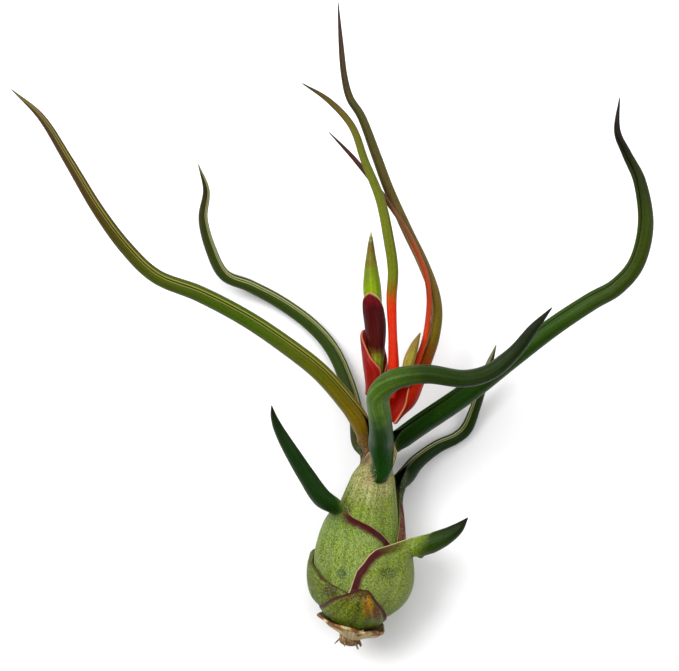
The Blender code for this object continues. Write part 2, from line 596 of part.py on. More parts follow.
def main():
    """Build every piece of the plant."""
    for thing in list(bpy.data.objects):
        bpy.data.objects.remove(thing, do_unlink=True)
    build_stem_base()
    for order in range(len(LEAVES)):
        build_leaf(order)
    build_tube("flower_stem", (0.150, 0.200, 0.060), FLOWER_STEM, 10, 18)
    for bract in SPIKE_BRACTS:
        build_spike_bract(bract)
    for bract in BRACT_LEAVES:
        build_bract_leaf(bract)
    build_bract_leaf(dict(SIDE_SPIKE, open_to=1.0))


main()
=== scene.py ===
"""Bulbosa air plant (Tillandsia bulbosa) lying on a white table, seen from above.

The plant is put together from the inside out, leaf by leaf, as it grew. Lengths are in
millimetres until they go into a mesh. +Z is up and +Y runs along the plant, from its dry
base to its leaf tips.
"""
import math

import bmesh
import bpy
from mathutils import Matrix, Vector
from mathutils.kdtree import KDTree


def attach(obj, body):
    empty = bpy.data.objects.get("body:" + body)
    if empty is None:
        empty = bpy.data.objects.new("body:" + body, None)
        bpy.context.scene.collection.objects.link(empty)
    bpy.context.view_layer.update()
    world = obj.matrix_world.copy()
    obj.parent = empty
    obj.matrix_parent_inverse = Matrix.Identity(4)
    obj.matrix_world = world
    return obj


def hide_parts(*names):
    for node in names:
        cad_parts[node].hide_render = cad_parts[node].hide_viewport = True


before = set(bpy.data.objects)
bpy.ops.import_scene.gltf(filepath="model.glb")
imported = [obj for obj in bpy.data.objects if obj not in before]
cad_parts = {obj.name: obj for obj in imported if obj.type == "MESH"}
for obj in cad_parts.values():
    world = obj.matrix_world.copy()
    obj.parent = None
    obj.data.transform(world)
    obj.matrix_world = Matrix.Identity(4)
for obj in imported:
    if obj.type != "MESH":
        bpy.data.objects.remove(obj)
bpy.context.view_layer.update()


# The longest leaf, up the right side. Its sheath wraps the heart of the bulb like a layer of
# an onion, and its blade is rolled into a tapering tube with a slit. Living leaf: waxy green
# tissue with grey scales that drink the dew.
MM = 0.001
BULB_BASE = Vector((-2.8, -17.8, 11.6))
BULB_NECK = Vector((3.5, 24.5, 14.2))
AXIS = (BULB_NECK - BULB_BASE).normalized()
RIGHT = AXIS.cross(Vector((0, 0, 1))).normalized()
TOWARD = RIGHT.cross(AXIS).normalized()

# Heart of the bulb: (distance up the axis, radius) at each station, from one before station 0
HEART = [(9.2, 0.9), (8.4, 2.9), (9.3, 4.9), (12.6, 6.6), (18.5, 6.7), (24.0, 6.0),
         (30.5, 4.5), (36.5, 3.1), (42.5, 1.8), (48.0, 1.5)]
LEAF_GAP = 0.4
EDGE_GAP = 0.14
SHEATH_THICKNESS = 0.82
BASE_THICKNESS = 0.6
EDGE_THICKNESS = 0.3
EDGE_SHARE = 0.72
DRAPE_ANGLE = 32.0
DRAPE_STATIONS = 0.7
TABLE_PRESS = 0.25

# One station is about this long near the top of the bulb
STATION_MM = 5.0

# Blades, as half angles of the tube in degrees and shares of its radius
OPEN_REACH = 88.0
OPEN_GAIN = 15.0
ROLLED_REACH = 172.0
THIN_WALL = 0.12
THICK_WALL = 0.62
THINNEST_MM = 0.5
LIP_TUCK = 0.12
LIP_SHARE = 0.86
LEAST_HOLLOW = 0.15
TIP_RADIUS = 0.12

# Places along a blade, in points of its line, by which it has rolled up, lies level and is thick
ROLLED_BY = 2.4
LEVEL_BY = 3.5
THICK_BY = 4.5

# How finely the meshes follow the leaf
LEAF_STEPS_ACROSS = 40
STATION_STEP = 0.06
LOOK_AHEAD = 0.05
JOIN_ROWS = 16
ROWS_PER_POINT = 11
EDGE_CROWDING = 1.3
WELD_MM = 0.0005

# Outermost last
layers = []


def smooth(low, high, value):
    """Ease from 0 at low to 1 at high."""
    t = min(1.0, max(0.0, (value - low) / (high - low)))
    return t * t * (3.0 - 2.0 * t)


def steps(low, high, count):
    """Evenly spaced values from low to high."""
    return [low + (high - low) * i / count for i in range(count + 1)]


def curve_at(points, where):
    """Point on a smooth curve through the points; where counts points from 0."""
    last = len(points) - 1
    k = min(last - 1, max(0, int(math.floor(where))))
    t = where - k
    now = points[k]
    after = points[k + 1]
    before = points[k - 1] if k > 0 else [2 * a - b for a, b in zip(now, after)]
    later = points[k + 2] if k + 2 <= last else [2 * b - a for a, b in zip(now, after)]
    return [0.5 * (2 * p1 + (p2 - p0) * t + (2 * p0 - 5 * p1 + 4 * p2 - p3) * t * t
                   + (3 * p1 - p0 - 3 * p2 + p3) * t ** 3)
            for p0, p1, p2, p3 in zip(before, now, after, later)]


def table_at(rows, where):
    """Straight-line lookup in rows of (key, value, value...)."""
    if where <= rows[0][0]:
        return rows[0][1:]
    for low, high in zip(rows, rows[1:]):
        if where <= high[0]:
            t = (where - low[0]) / (high[0] - low[0])
            return [a + (b - a) * t for a, b in zip(low[1:], high[1:])]
    return rows[-1][1:]


def outward(angle):
    """Direction away from the bulb's axis: 0 faces up, 90 right, 180 down."""
    turn = math.radians(angle)
    return TOWARD * math.cos(turn) + RIGHT * math.sin(turn)


def bulb_point(station, angle, height):
    """Point at a height over the heart of the bulb, measured square to its skin."""
    along, radius = curve_at(HEART, station + 1.0)
    along2, radius2 = curve_at(HEART, station + 1.02)
    run = math.hypot(along2 - along, radius2 - radius)
    up = -(radius2 - radius) / run
    out = (along2 - along) / run
    return BULB_BASE + AXIS * (along + height * up) + outward(angle) * (radius + height * out)


def bulge(leaf, station, angle):
    """How far the leaf swells away from its bed."""
    total = 0.0
    for at, side, height, reach, spread in leaf.get("bulges", []):
        away = (angle - side + 180.0) % 360.0 - 180.0
        total += height * math.exp(-((station - at) / reach) ** 2 - (away / spread) ** 2)
    return total


def thickness(station):
    """A sheath is thin where it grips the stem."""
    return BASE_THICKNESS + (SHEATH_THICKNESS - BASE_THICKNESS) * smooth(0.0, 1.5, station)


def cover(leaf, station, angle):
    """1 where the leaf lies, easing to 0 past its edges, so that outer leaves drape over it."""
    left, right = table_at(leaf["margins"], station)
    middle = 0.5 * (left + right)
    away = abs((angle - middle + 180.0) % 360.0 - 180.0) - 0.5 * (right - left)
    past = station - leaf["margins"][-1][0]
    return (1.0 - smooth(0.0, DRAPE_ANGLE, away)) * (1.0 - smooth(0.0, DRAPE_STATIONS, past))


def bed(station, angle, spread=0.0):
    """Height of the leaves that are already on the bulb."""
    if spread > 0.0:
        return max(bed(station, angle + turn) for turn in (-spread, 0.0, spread))
    return sum(cover(leaf, station, angle)
               * (LEAF_GAP + thickness(station) + bulge(leaf, station, angle))
               for leaf in layers)


def across_steps(count):
    """Places from the left edge (-1) to the right edge (1), closer together at the edges."""
    return [math.sin(EDGE_CROWDING * x) / math.sin(EDGE_CROWDING) for x in steps(-1.0, 1.0, count)]


def sheath_row(leaf, row, shares):
    """Outer and inner points of a sheath at one station. Its edges hug the leaf below, and
    those of a slanted leaf run ahead of its middle."""
    amount, start, full = leaf.get("slant", (0.0, 0.0, 1.0))
    slant = amount * smooth(start, full, row)
    outer = []
    inner = []
    for share in shares:
        station = row + slant * share * share
        left, right = table_at(leaf["margins"], station)
        angle = 0.5 * (left + right) + 0.5 * (right - left) * share
        edge = smooth(EDGE_SHARE, 1.0, abs(share))
        low = bed(station, angle, leaf.get("spread", 0.0)) + bulge(leaf, station, angle)
        low += LEAF_GAP + (EDGE_GAP - LEAF_GAP) * edge
        wall = thickness(station) + (EDGE_THICKNESS - thickness(station)) * edge
        inner.append(bulb_point(station, angle, low))
        outer.append(bulb_point(station, angle, low + wall))
    return outer, inner


def blade_row(line, back, where, shares, wall_share, reach, lip=0.0, lead=0.0):
    """Section of a rolled blade: a tube with a slit, whose lips are tucked in a little.
    lead: how far its edges run ahead of its middle, in millimetres."""
    x, y, z, radius = curve_at(line, where)
    radius = max(TIP_RADIUS, radius)
    centre = Vector((x, y, z))
    ahead = Vector(curve_at(line, min(where + LOOK_AHEAD, len(line) - 1))[:3])
    behind = Vector(curve_at(line, max(where - LOOK_AHEAD, 0))[:3])
    along = (ahead - behind).normalized()
    out = Vector(table_at([(at, *direction) for at, direction in back], where))
    out = (out - along * out.dot(along)).normalized()
    side = along.cross(out).normalized()
    hollow = max(radius - max(THINNEST_MM, radius * wall_share), radius * LEAST_HOLLOW)
    outer = []
    inner = []
    for share in shares:
        turn = math.radians(share * reach)
        spoke = out * math.cos(turn) + side * math.sin(turn)
        tuck = 1.0 - lip * smooth(LIP_SHARE, 1.0, abs(share))
        shifted = centre + along * lead * share * share
        outer.append(shifted + spoke * radius * tuck)
        inner.append(shifted + spoke * hollow)
    return outer, inner


def blade_line(leaf):
    """The blade's whole midline: its foot on the bulb, then its free stretch."""
    foot = [(*bulb_point(station, angle, bed(station, angle) + LEAF_GAP + lift), radius)
            for station, (angle, lift, radius) in zip(leaf["joins"], leaf["foot"])]
    return foot + leaf["midline"]


def blend(first, second, share):
    """Mix two rows point by point."""
    return [[a.lerp(b, share) for a, b in zip(one, two)] for one, two in zip(first, second)]


def leaf_rows(leaf):
    """(step, outer points, inner points) from the leaf's foot to its tip. Steps count from the
    place where the blade leaves the bulb: negative below it, and about 7 mm each above."""
    shares = across_steps(LEAF_STEPS_ACROSS)
    start, end = leaf["joins"]
    line = blade_line(leaf)
    opened = leaf.get("open", OPEN_REACH)
    lead = leaf.get("slant", (0.0,))[0] * STATION_MM
    last = len(line) - 1
    rows = [(station - end, *sheath_row(leaf, station, shares))
            for station in steps(0.0, start, round(start / STATION_STEP))]
    for share in steps(0.0, 1.0, JOIN_ROWS)[1:]:
        station = start + (end - start) * share
        rolled = blade_row(line, leaf["back"], share, shares, THIN_WALL, opened + OPEN_GAIN * share,
                           lead=lead)
        mixed = blend(sheath_row(leaf, station, shares), rolled,
                      smooth(leaf.get("hold", 0.35), 1.0, share))
        rows.append((station - end, *mixed))
    for where in steps(1.0, last, (last - 1) * ROWS_PER_POINT)[1:]:
        rolled = smooth(1.0, ROLLED_BY, where)
        reach = opened + OPEN_GAIN + (ROLLED_REACH - opened - OPEN_GAIN) * rolled
        wall = THIN_WALL + (THICK_WALL - THIN_WALL) * smooth(1.0, THICK_BY, where)
        row = blade_row(line, leaf["back"], where, shares, wall, reach, LIP_TUCK * rolled,
                        lead * (1.0 - smooth(1.0, LEVEL_BY, where)))
        rows.append((where - 1.0, *row))
    return rows, shares


def smooth_mesh(name, mesh):
    """Turn the faces outwards and shade them smooth."""
    bmesh.ops.recalc_face_normals(mesh, faces=mesh.faces[:])
    for face in mesh.faces:
        face.smooth = True
    data = bpy.data.meshes.new(name)
    mesh.to_mesh(data)
    mesh.free()
    return data


def skin_mesh(name, rows, shares):
    """Bend a flat grid round the rows and weld it shut. Each vertex also learns where it is
    on the leaf: across it (-1 to 1), its step, its distance from the edge, and inner side."""
    mesh = bmesh.new()
    around = 2 * len(shares)
    rise = len(rows) - 1
    bmesh.ops.create_grid(mesh, x_segments=around, y_segments=rise, size=0.5)
    marks = {key: mesh.verts.layers.float.new(key) for key in ("across", "step", "rim", "inner")}
    edges = KDTree(2 * len(rows))
    for i, (step, outer, inner) in enumerate(rows):
        edges.insert(outer[0], 2 * i)
        edges.insert(outer[-1], 2 * i + 1)
    edges.balance()
    for vert in mesh.verts:
        column = round((vert.co.x + 0.5) * around) % around
        row = round((vert.co.y + 0.5) * rise)
        step, outer, inner = rows[row]
        within = column >= len(shares)
        i = around - 1 - column if within else column
        point = inner[i] if within else outer[i]
        if row in (0, rise):
            point = (inner[i] + outer[i]) * 0.5
        vert[marks["rim"]] = edges.find(point)[2]
        if point.z < TABLE_PRESS:
            point = Vector((point.x, point.y, 0.0))
        vert.co = point * MM
        vert[marks["across"]] = shares[i]
        vert[marks["step"]] = step
        vert[marks["inner"]] = 1.0 if within else 0.0
    bmesh.ops.remove_doubles(mesh, verts=mesh.verts[:], dist=WELD_MM * MM)
    return smooth_mesh(name, mesh)


def put(name, data, material):
    """The finished piece takes the place of the CAD node of the same name."""
    data.materials.append(material)
    piece = bpy.data.objects.new(name, data)
    bpy.context.scene.collection.objects.link(piece)
    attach(piece, "root")
    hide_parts(name)


# The table is lit until it is white, so a leaf's own colour is darker than it looks there
BRIGHT_LIGHT = 0.66


def shade(red, green, blue):
    """A colour as it looks on the bright table, as the shader's own linear colour."""
    parts = [value / 255.0 for value in (red, green, blue)]
    parts = [p / 12.92 if p <= 0.04045 else ((p + 0.055) / 1.055) ** 2.4 for p in parts]
    return (*[p * BRIGHT_LIGHT for p in parts], 1.0)


def fill(tree, made, inputs):
    """Set a node's inputs, by name or number, to a value or to another node's output."""
    for key, value in inputs.items():
        if isinstance(value, bpy.types.NodeSocket):
            tree.links.new(value, made.inputs[key])
        else:
            made.inputs[key].default_value = value


def node(tree, kind, inputs=None, **settings):
    """Add a shader node."""
    made = tree.nodes.new("ShaderNode" + kind)
    for key, value in settings.items():
        setattr(made, key, value)
    fill(tree, made, inputs or {})
    return made


def calc(tree, operation, first, second=0.0, third=0.0):
    """One sum on two or three values."""
    return node(tree, "Math", {0: first, 1: second, 2: third}, operation=operation).outputs[0]


def ease(tree, value, low, high):
    """0 at low, 1 at high, and smooth between; low may be the larger."""
    made = node(tree, "MapRange", {0: value, 1: low, 2: high}, interpolation_type="SMOOTHSTEP")
    return made.outputs[0]


def mix(tree, share, first, second, way="MIX"):
    """Two colours mixed by a share."""
    made = node(tree, "Mix", {0: share, 6: first, 7: second}, data_type="RGBA", blend_type=way)
    return made.outputs[2]


def ramp(tree, value, stops):
    """Colour along a line of (place from 0 to 1, colour) stops."""
    made = node(tree, "ValToRGB", {0: value})
    points = made.color_ramp.elements
    while len(points) < len(stops):
        points.new(1.0)
    for point, (place, colour) in zip(points, sorted(stops)):
        point.position = place
        point.color = colour
    return made.outputs[0]


def swing(tree, noise, amount):
    """Noise from 0 to 1 as a swing to either side of nothing."""
    return calc(tree, "MULTIPLY", calc(tree, "SUBTRACT", noise, 0.5), amount)


def between(tree, share, pair):
    """From the first value of a pair to the second."""
    first, second = pair
    return calc(tree, "ADD", first, calc(tree, "MULTIPLY", share, second - first))


def paint(tree, colour, tint, *masks):
    """Lay a tint over a colour where all the masks meet."""
    share = masks[0]
    for mask in masks[1:]:
        share = calc(tree, "MULTIPLY", share, mask)
    return mix(tree, share, colour, tint)


def group(name, inputs, outputs):
    """A shader node group. inputs: the kind of each named socket. outputs: names of values."""
    tree = bpy.data.node_groups.new(name, "ShaderNodeTree")
    for key, kind in inputs.items():
        tree.interface.new_socket(key, in_out="INPUT", socket_type="NodeSocket" + kind)
    for key in outputs:
        tree.interface.new_socket(key, in_out="OUTPUT", socket_type="NodeSocketFloat")
    return tree, tree.nodes.new("NodeGroupInput").outputs, tree.nodes.new("NodeGroupOutput").inputs


def grouped(tree, name, inputs):
    """A node group placed in a material with its own values."""
    made = tree.nodes.new("ShaderNodeGroup")
    made.node_tree = bpy.data.node_groups[name]
    fill(tree, made, inputs)
    return made.outputs


SCALE_MM = 0.28
VEIN_WANDER = 0.35
PATCH_RAGGED = 0.5


def make_scales_group():
    """Grey water-drinking scales: fine specks that crowd together in patches."""
    tree, given, out = group("scales", {"Vector": "Vector", "Cover": "Float"}, ["Mask"])
    cells = node(tree, "TexVoronoi", {"Vector": given["Vector"], "Scale": 1.0 / SCALE_MM,
                                      "Randomness": 1.0})
    dot = ease(tree, cells.outputs["Distance"], 0.55, 0.15)
    pick = node(tree, "SeparateColor", {0: cells.outputs["Color"]}).outputs[0]
    cloud = node(tree, "TexNoise", {"Vector": given["Vector"], "Scale": 0.9, "Detail": 3.0}).outputs[0]
    level = calc(tree, "MULTIPLY_ADD", swing(tree, cloud, given["Cover"]), 2.4, pick)
    limit = calc(tree, "SUBTRACT", 1.0, given["Cover"])
    chosen = ease(tree, level, limit, calc(tree, "ADD", limit, 0.2))
    tree.links.new(calc(tree, "MULTIPLY", dot, chosen), out["Mask"])


def make_fibres_group():
    """Long veins that follow the leaf and run closer together as it narrows."""
    tree, given, out = group("fibres", {"Across": "Float", "Step": "Float", "Count": "Float",
                                        "Seed": "Float"}, ["Streak", "Fine"])
    sideways = calc(tree, "MULTIPLY", given["Across"], given["Count"])
    upward = calc(tree, "MULTIPLY", given["Step"], VEIN_WANDER)
    spot = node(tree, "CombineXYZ", {0: sideways, 1: upward, 2: given["Seed"]}).outputs[0]
    broad = node(tree, "TexNoise", {"Vector": spot, "Scale": 0.35, "Detail": 2.0})
    fine = node(tree, "TexNoise", {"Vector": spot, "Scale": 1.4, "Detail": 2.0})
    tree.links.new(ease(tree, broad.outputs[0], 0.32, 0.68), out["Streak"])
    tree.links.new(ease(tree, fine.outputs[0], 0.3, 0.7), out["Fine"])


def make_patch_group():
    """A soft-edged patch at one place on the plant, with a ragged outline."""
    tree, given, out = group("patch", {"Vector": "Vector", "Centre": "Vector", "Reach": "Vector"},
                             ["Mask"])
    away = node(tree, "VectorMath", {0: given["Vector"], 1: given["Centre"]}, operation="SUBTRACT")
    shrunk = node(tree, "VectorMath", {0: away.outputs[0], 1: given["Reach"]}, operation="DIVIDE")
    distance = node(tree, "VectorMath", {0: shrunk.outputs[0]}, operation="LENGTH").outputs["Value"]
    rough = node(tree, "TexNoise", {"Vector": given["Vector"], "Scale": 0.8, "Detail": 4.0}).outputs[0]
    reached = calc(tree, "ADD", distance, swing(tree, rough, PATCH_RAGGED))
    tree.links.new(ease(tree, reached, 1.15, 0.6), out["Mask"])


make_scales_group()
make_fibres_group()
make_patch_group()

# Steps of a leaf as a place on its colour ramp
STEP_LOW = -8.0
STEP_SPAN = 24.0

# Colours that every leaf shares; the first two darken or brighten what is under them
MOTTLE_SHADE = (0.2, 0.24, 0.1, 1.0)
VEIN_LIGHT = (1.35, 1.35, 1.2, 1.0)
VEIN_SHADE = shade(60, 70, 35)
BLOOM_GREY = shade(160, 174, 120)
SCALE_GREY = shade(204, 214, 160)
# Painted shade: the near-black that stands for the shadow inside a rolled blade
SLIT_PAINTED_SHADE = shade(20, 24, 10)

# How far the noise carries colours along the leaf, the blade's line and the stained edge
COLOUR_DRIFT = 0.06
LINE_WAVER = 0.05
EDGE_WAVER_MM = 0.9

SCALE_STRENGTH = 0.5
SLIT_SHADE_STRENGTH = 0.85
LIP_MM = 0.3
LIP_CORE_MM = 0.14
LEAF_SPECULAR = 0.1
RELIEF_MM = 0.12


def begin_material(name):
    """A new material, its tree and shader, and the place on the plant in millimetres."""
    material = bpy.data.materials.new(name)
    material.use_nodes = True
    tree = material.node_tree
    spot = node(tree, "TexCoord").outputs["Object"]
    spot = node(tree, "VectorMath", {0: spot, "Scale": 1.0 / MM}, operation="SCALE").outputs[0]
    return material, tree, tree.nodes["Principled BSDF"], spot


def leaf_skin(name, sheath, blade, seed, tongue=(-0.6, 1.2, 0.8), lean=0.0, meal=(0.5, 0.03),
              film=(0.15, 0.0), mottle=(0.8, 0.3), rough=(0.55, 0.38), streaks=(0.25, 30.0),
              patches=(), band=None, rim=None, seam=None, inside=(150, 150, 95), open_to=0.0):
    """Living leaf. sheath, blade: colours by step.

    tongue: (step, rise, softness) of the line where the blade's colours start.
    lean: how far the lowest place of that line sits off the middle.
    meal, film, mottle, rough: grey scales, grey bloom, dark mottling and roughness, each as
    a value on the sheath and one on the blade.
    streaks: (depth, number) of the veins. patches: (centre, reach, colour, share).
    band: (width in mm, colour, lowest step, highest step) of the stain along the edge.
    rim: (width in mm, colour, last step). seam: (colour, share, last step) of the slit's lips.
    inside: colour of the inner side up to the step open_to. Above it the inner side is painted dark, as
    painted shade inside the rolled tube seen through its slit.
    """
    material, tree, shader, spot = begin_material(name)
    mark = {key: node(tree, "Attribute", attribute_name=key).outputs["Fac"]
            for key in ("across", "step", "rim", "inner")}

    def stops(rows):
        return [((step - STEP_LOW) / STEP_SPAN, shade(*colour)) for step, colour in rows]

    def by_step(first, second):
        return ease(tree, mark["step"], first, second)

    depth, number = streaks
    veins = grouped(tree, "fibres", {"Across": mark["across"], "Step": mark["step"],
                                     "Count": number, "Seed": seed})
    cloud = node(tree, "TexNoise", {"Vector": spot, "Scale": 0.35, "Detail": 4.0}).outputs[0]

    foot, rise, softness = tongue
    side = calc(tree, "POWER", calc(tree, "ABSOLUTE", calc(tree, "SUBTRACT", mark["across"], lean)), 2.0)
    climb = calc(tree, "SUBTRACT", mark["step"], foot)
    climb = calc(tree, "SUBTRACT", climb, calc(tree, "MULTIPLY", side, rise))
    climb = calc(tree, "ADD", climb, swing(tree, veins["Streak"], LINE_WAVER))
    rolled = ease(tree, climb, 0.0, softness)
    level = calc(tree, "DIVIDE", calc(tree, "SUBTRACT", mark["step"], STEP_LOW), STEP_SPAN)
    level = calc(tree, "ADD", level, swing(tree, cloud, COLOUR_DRIFT))
    colour = mix(tree, rolled, ramp(tree, level, stops(sheath)), ramp(tree, level, stops(blade)))

    for centre, reach, tint, share in patches:
        mask = grouped(tree, "patch", {"Vector": spot, "Centre": centre, "Reach": reach})["Mask"]
        colour = paint(tree, colour, shade(*tint), mask, share)

    dark = mix(tree, depth, colour, VEIN_SHADE, "MULTIPLY")
    colour = mix(tree, veins["Streak"], dark, colour)
    colour = mix(tree, calc(tree, "MULTIPLY", veins["Fine"], 0.5), colour, VEIN_LIGHT, "MULTIPLY")
    grit = node(tree, "TexNoise", {"Vector": spot, "Scale": 2.3, "Detail": 4.0, "Roughness": 0.65}).outputs[0]
    grain = calc(tree, "MULTIPLY", ease(tree, grit, 0.56, 0.38), between(tree, rolled, mottle))
    colour = mix(tree, grain, colour, MOTTLE_SHADE, "MULTIPLY")
    colour = paint(tree, colour, BLOOM_GREY, between(tree, rolled, film), ease(tree, cloud, 0.3, 0.7))
    scales = grouped(tree, "scales", {"Vector": spot, "Cover": between(tree, rolled, meal)})["Mask"]
    colour = paint(tree, colour, SCALE_GREY, scales, SCALE_STRENGTH)

    if band:
        width, tint, first, final = band
        edge = calc(tree, "ADD", mark["rim"], swing(tree, cloud, EDGE_WAVER_MM))
        colour = paint(tree, colour, shade(*tint), ease(tree, edge, width * 1.25, width * 0.7),
                       by_step(first - 0.5, first + 0.3), by_step(final + 0.4, final - 0.3))
    if rim:
        width, tint, final = rim
        colour = paint(tree, colour, shade(*tint), ease(tree, mark["rim"], width, width * 0.3),
                       by_step(final + 0.4, final - 0.4))
    if seam:
        tint, share, final = seam
        colour = paint(tree, colour, shade(*tint), ease(tree, mark["rim"], LIP_MM, LIP_CORE_MM),
                       by_step(0.8, 2.2), by_step(final + 2.0, final - 2.0), share)
    colour = paint(tree, colour, shade(*inside), mark["inner"], by_step(open_to + 0.3, open_to - 0.8))
    # Painted shade: above open_to the inner side is darkened to stand for the shadow deep in the tube
    colour = paint(tree, colour, SLIT_PAINTED_SHADE, mark["inner"], by_step(open_to - 0.6, open_to + 0.6),
                   SLIT_SHADE_STRENGTH)

    gloss = calc(tree, "ADD", between(tree, rolled, rough), calc(tree, "MULTIPLY", scales, 0.2))
    gloss = calc(tree, "ADD", gloss, swing(tree, cloud, 0.25))
    bumps = calc(tree, "ADD", calc(tree, "MULTIPLY", veins["Fine"], 0.5), calc(tree, "MULTIPLY", scales, 0.4))
    bumps = calc(tree, "ADD", bumps, calc(tree, "MULTIPLY", cloud, 1.2))
    relief = node(tree, "Bump", {"Height": bumps, "Strength": 0.6, "Distance": RELIEF_MM * MM})
    fill(tree, shader, {"Base Color": colour, "Roughness": gloss, "Normal": relief.outputs[0],
                        "Specular IOR Level": LEAF_SPECULAR})
    return material


def lay_leaf(leaf, material):
    """Grow one leaf over the ones that are already there."""
    rows, shares = leaf_rows(leaf)
    put(leaf["name"], skin_mesh(leaf["name"], rows, shares), material)
    layers.append(leaf)


RIGHT_LONG = {
    "name": "leaf_right_long",
    "margins": [(0, 5, 225), (5, 5, 222), (6.3, 10, 210), (7.2, 20, 165), (7.9, 40, 140)],
    "joins": (6.4, 7.5),
    "foot": [(92, 0.3, 2.6), (90, 0.9, 2.5)],
    "midline": [(9.9, 29.0, 15.9, 2.5),
                (14.7, 32.6, 19.4, 2.55), (24.0, 39.2, 25.0, 2.5), (33.9, 47.1, 29.0, 2.3),
                (43.5, 54.6, 32.0, 2.2), (51.6, 60.1, 34.5, 2.1), (57.3, 63.5, 36.5, 2.0),
                (61.6, 68.9, 38.5, 1.9), (63.3, 77.4, 41.0, 1.8), (61.8, 86.6, 43.0, 1.45),
                (58.7, 93.0, 44.0, 1.1), (56.5, 98.1, 45.0, 0.75), (56.9, 105.3, 46.0, 0.12)],
    "back": [(0, (1.0, 0.0, 0.0)), (2, (0.7, -0.3, -0.4)), (14, (0.5, -0.5, -0.7))],
}
lay_leaf(RIGHT_LONG, leaf_skin(
    "right_long_green",
    sheath=[(-8, (150, 160, 70)), (-1, (60, 80, 20))],
    blade=[(-1, (30, 60, 6)), (2, (24, 60, 4)), (4, (44, 82, 4)), (7, (56, 74, 6)),
           (9, (58, 74, 8)), (11, (34, 34, 14)), (13, (40, 26, 24))],
    seed=3.0))


# The long leaf to the left. The same build, but its outer half has turned olive and brown
# from strong light, and the slit of its rolled blade faces the camera.
LEFT_LONG = {
    "name": "leaf_left_long",
    "margins": [(0, -215, 15), (5, -205, 5), (6.3, -185, -10), (7.2, -150, -40), (7.9, -130, -60)],
    "joins": (6.4, 7.6),
    "foot": [(-98, 0.3, 2.5), (-98, 0.8, 2.4)],
    "midline": [(-0.4, 32.2, 17.0, 2.3),
                (-3.5, 36.9, 19.0, 2.2), (-9.6, 43.9, 22.0, 2.15), (-16.9, 49.8, 25.0, 2.1),
                (-26.6, 56.4, 28.0, 2.0), (-37.2, 62.0, 30.0, 1.9), (-46.9, 65.9, 31.0, 1.7),
                (-53.6, 72.2, 32.0, 1.6), (-59.9, 80.9, 35.0, 1.4), (-66.3, 91.9, 38.0, 1.15),
                (-72.0, 101.3, 41.0, 0.85), (-78.7, 107.6, 42.0, 0.12)],
    "back": [(0, (-1.0, 0.0, 0.0)), (3, (-0.6, -0.3, -0.7)), (13, (-0.2, -0.2, -0.9))],
}
lay_leaf(LEFT_LONG, leaf_skin(
    "left_long_olive",
    sheath=[(-8, (150, 160, 90)), (-4, (140, 130, 60)), (-2.6, (128, 72, 36)), (-1, (130, 82, 22))],
    blade=[(-1, (146, 90, 16)), (1, (144, 114, 12)), (3, (106, 108, 4)), (5, (70, 100, 0)),
           (7, (72, 84, 4)), (9, (82, 66, 12)), (11, (82, 58, 44)), (12, (50, 34, 40))],
    meal=(0.2, 0.03), patches=[((-0.6, 25.4, 20.0), (2.2, 1.8, 16.0), (112, 44, 40), 0.85)],
    seam=((178, 172, 80), 0.55, 12.0), seed=7.0))


# The front leaf: its sheath closes the top of the bulb as a pale cone, and its blade stands up,
# bends over and runs to the right, across the long leaf.
FRONT = {
    "name": "leaf_front",
    "margins": [(0, -125, 110), (5, -116, 104), (6.1, -98, 96), (6.5, -74, 80), (6.9, -48, 56),
                (7.3, -34, 46)],
    "open": 66.0,
    "joins": (5.3, 6.4), "slant": (1.2, 3.4, 5.2), "hold": 0.5,
    "foot": [(4, -4.2, 5.0), (16, 0.8, 2.95)],
    "midline": [(4.3, 27.2, 22.4, 2.95),
                (4.3, 30.4, 27.0, 2.75), (3.9, 34.2, 32.0, 2.65), (3.5, 38.9, 36.2, 2.6),
                (6.0, 42.0, 39.0, 2.5), (9.8, 43.4, 39.8, 2.3), (15.0, 43.8, 39.6, 2.15),
                (22.8, 42.8, 38.6, 2.0), (29.0, 44.5, 38.0, 1.9), (34.2, 48.9, 39.0, 1.6),
                (38.1, 54.0, 41.0, 1.15), (42.2, 58.8, 43.0, 0.12)],
    "back": [(0, (0, 0, 1)), (3, (0, -0.5, 0.7)), (5, (-0.5, -0.5, 0.6)), (7, (0, -0.6, 0.8)),
             (13, (0.2, -0.7, 0.7))],
}
lay_leaf(FRONT, leaf_skin(
    "front_green",
    sheath=[(-8, (114, 142, 30)), (-2.4, (122, 152, 30)), (-1.4, (136, 152, 48)),
            (-0.7, (178, 174, 110)), (0.1, (190, 162, 112)), (0.6, (126, 60, 48))],
    blade=[(-1.2, (44, 84, 18)), (0.5, (24, 74, 10)), (2.5, (34, 82, 12)), (3.6, (98, 134, 48)),
           (5.2, (74, 106, 24)), (7, (42, 66, 4)), (10, (28, 46, 4)), (12, (22, 28, 10))],
    tongue=(-0.55, 2.2, 0.15), lean=0.25, meal=(0.62, 0.04), film=(0.1, 0.0),
    patches=[((4.3, 21.6, 26.0), (2.9, 4.2, 16.0), (24, 70, 10), 1.0),
             ((-0.5, 24.2, 20.0), (2.8, 2.1, 16.0), (112, 48, 40), 0.85)],
    streaks=(0.45, 34.0),
    rim=(0.5, (196, 176, 130), 0.2), seed=11.0))


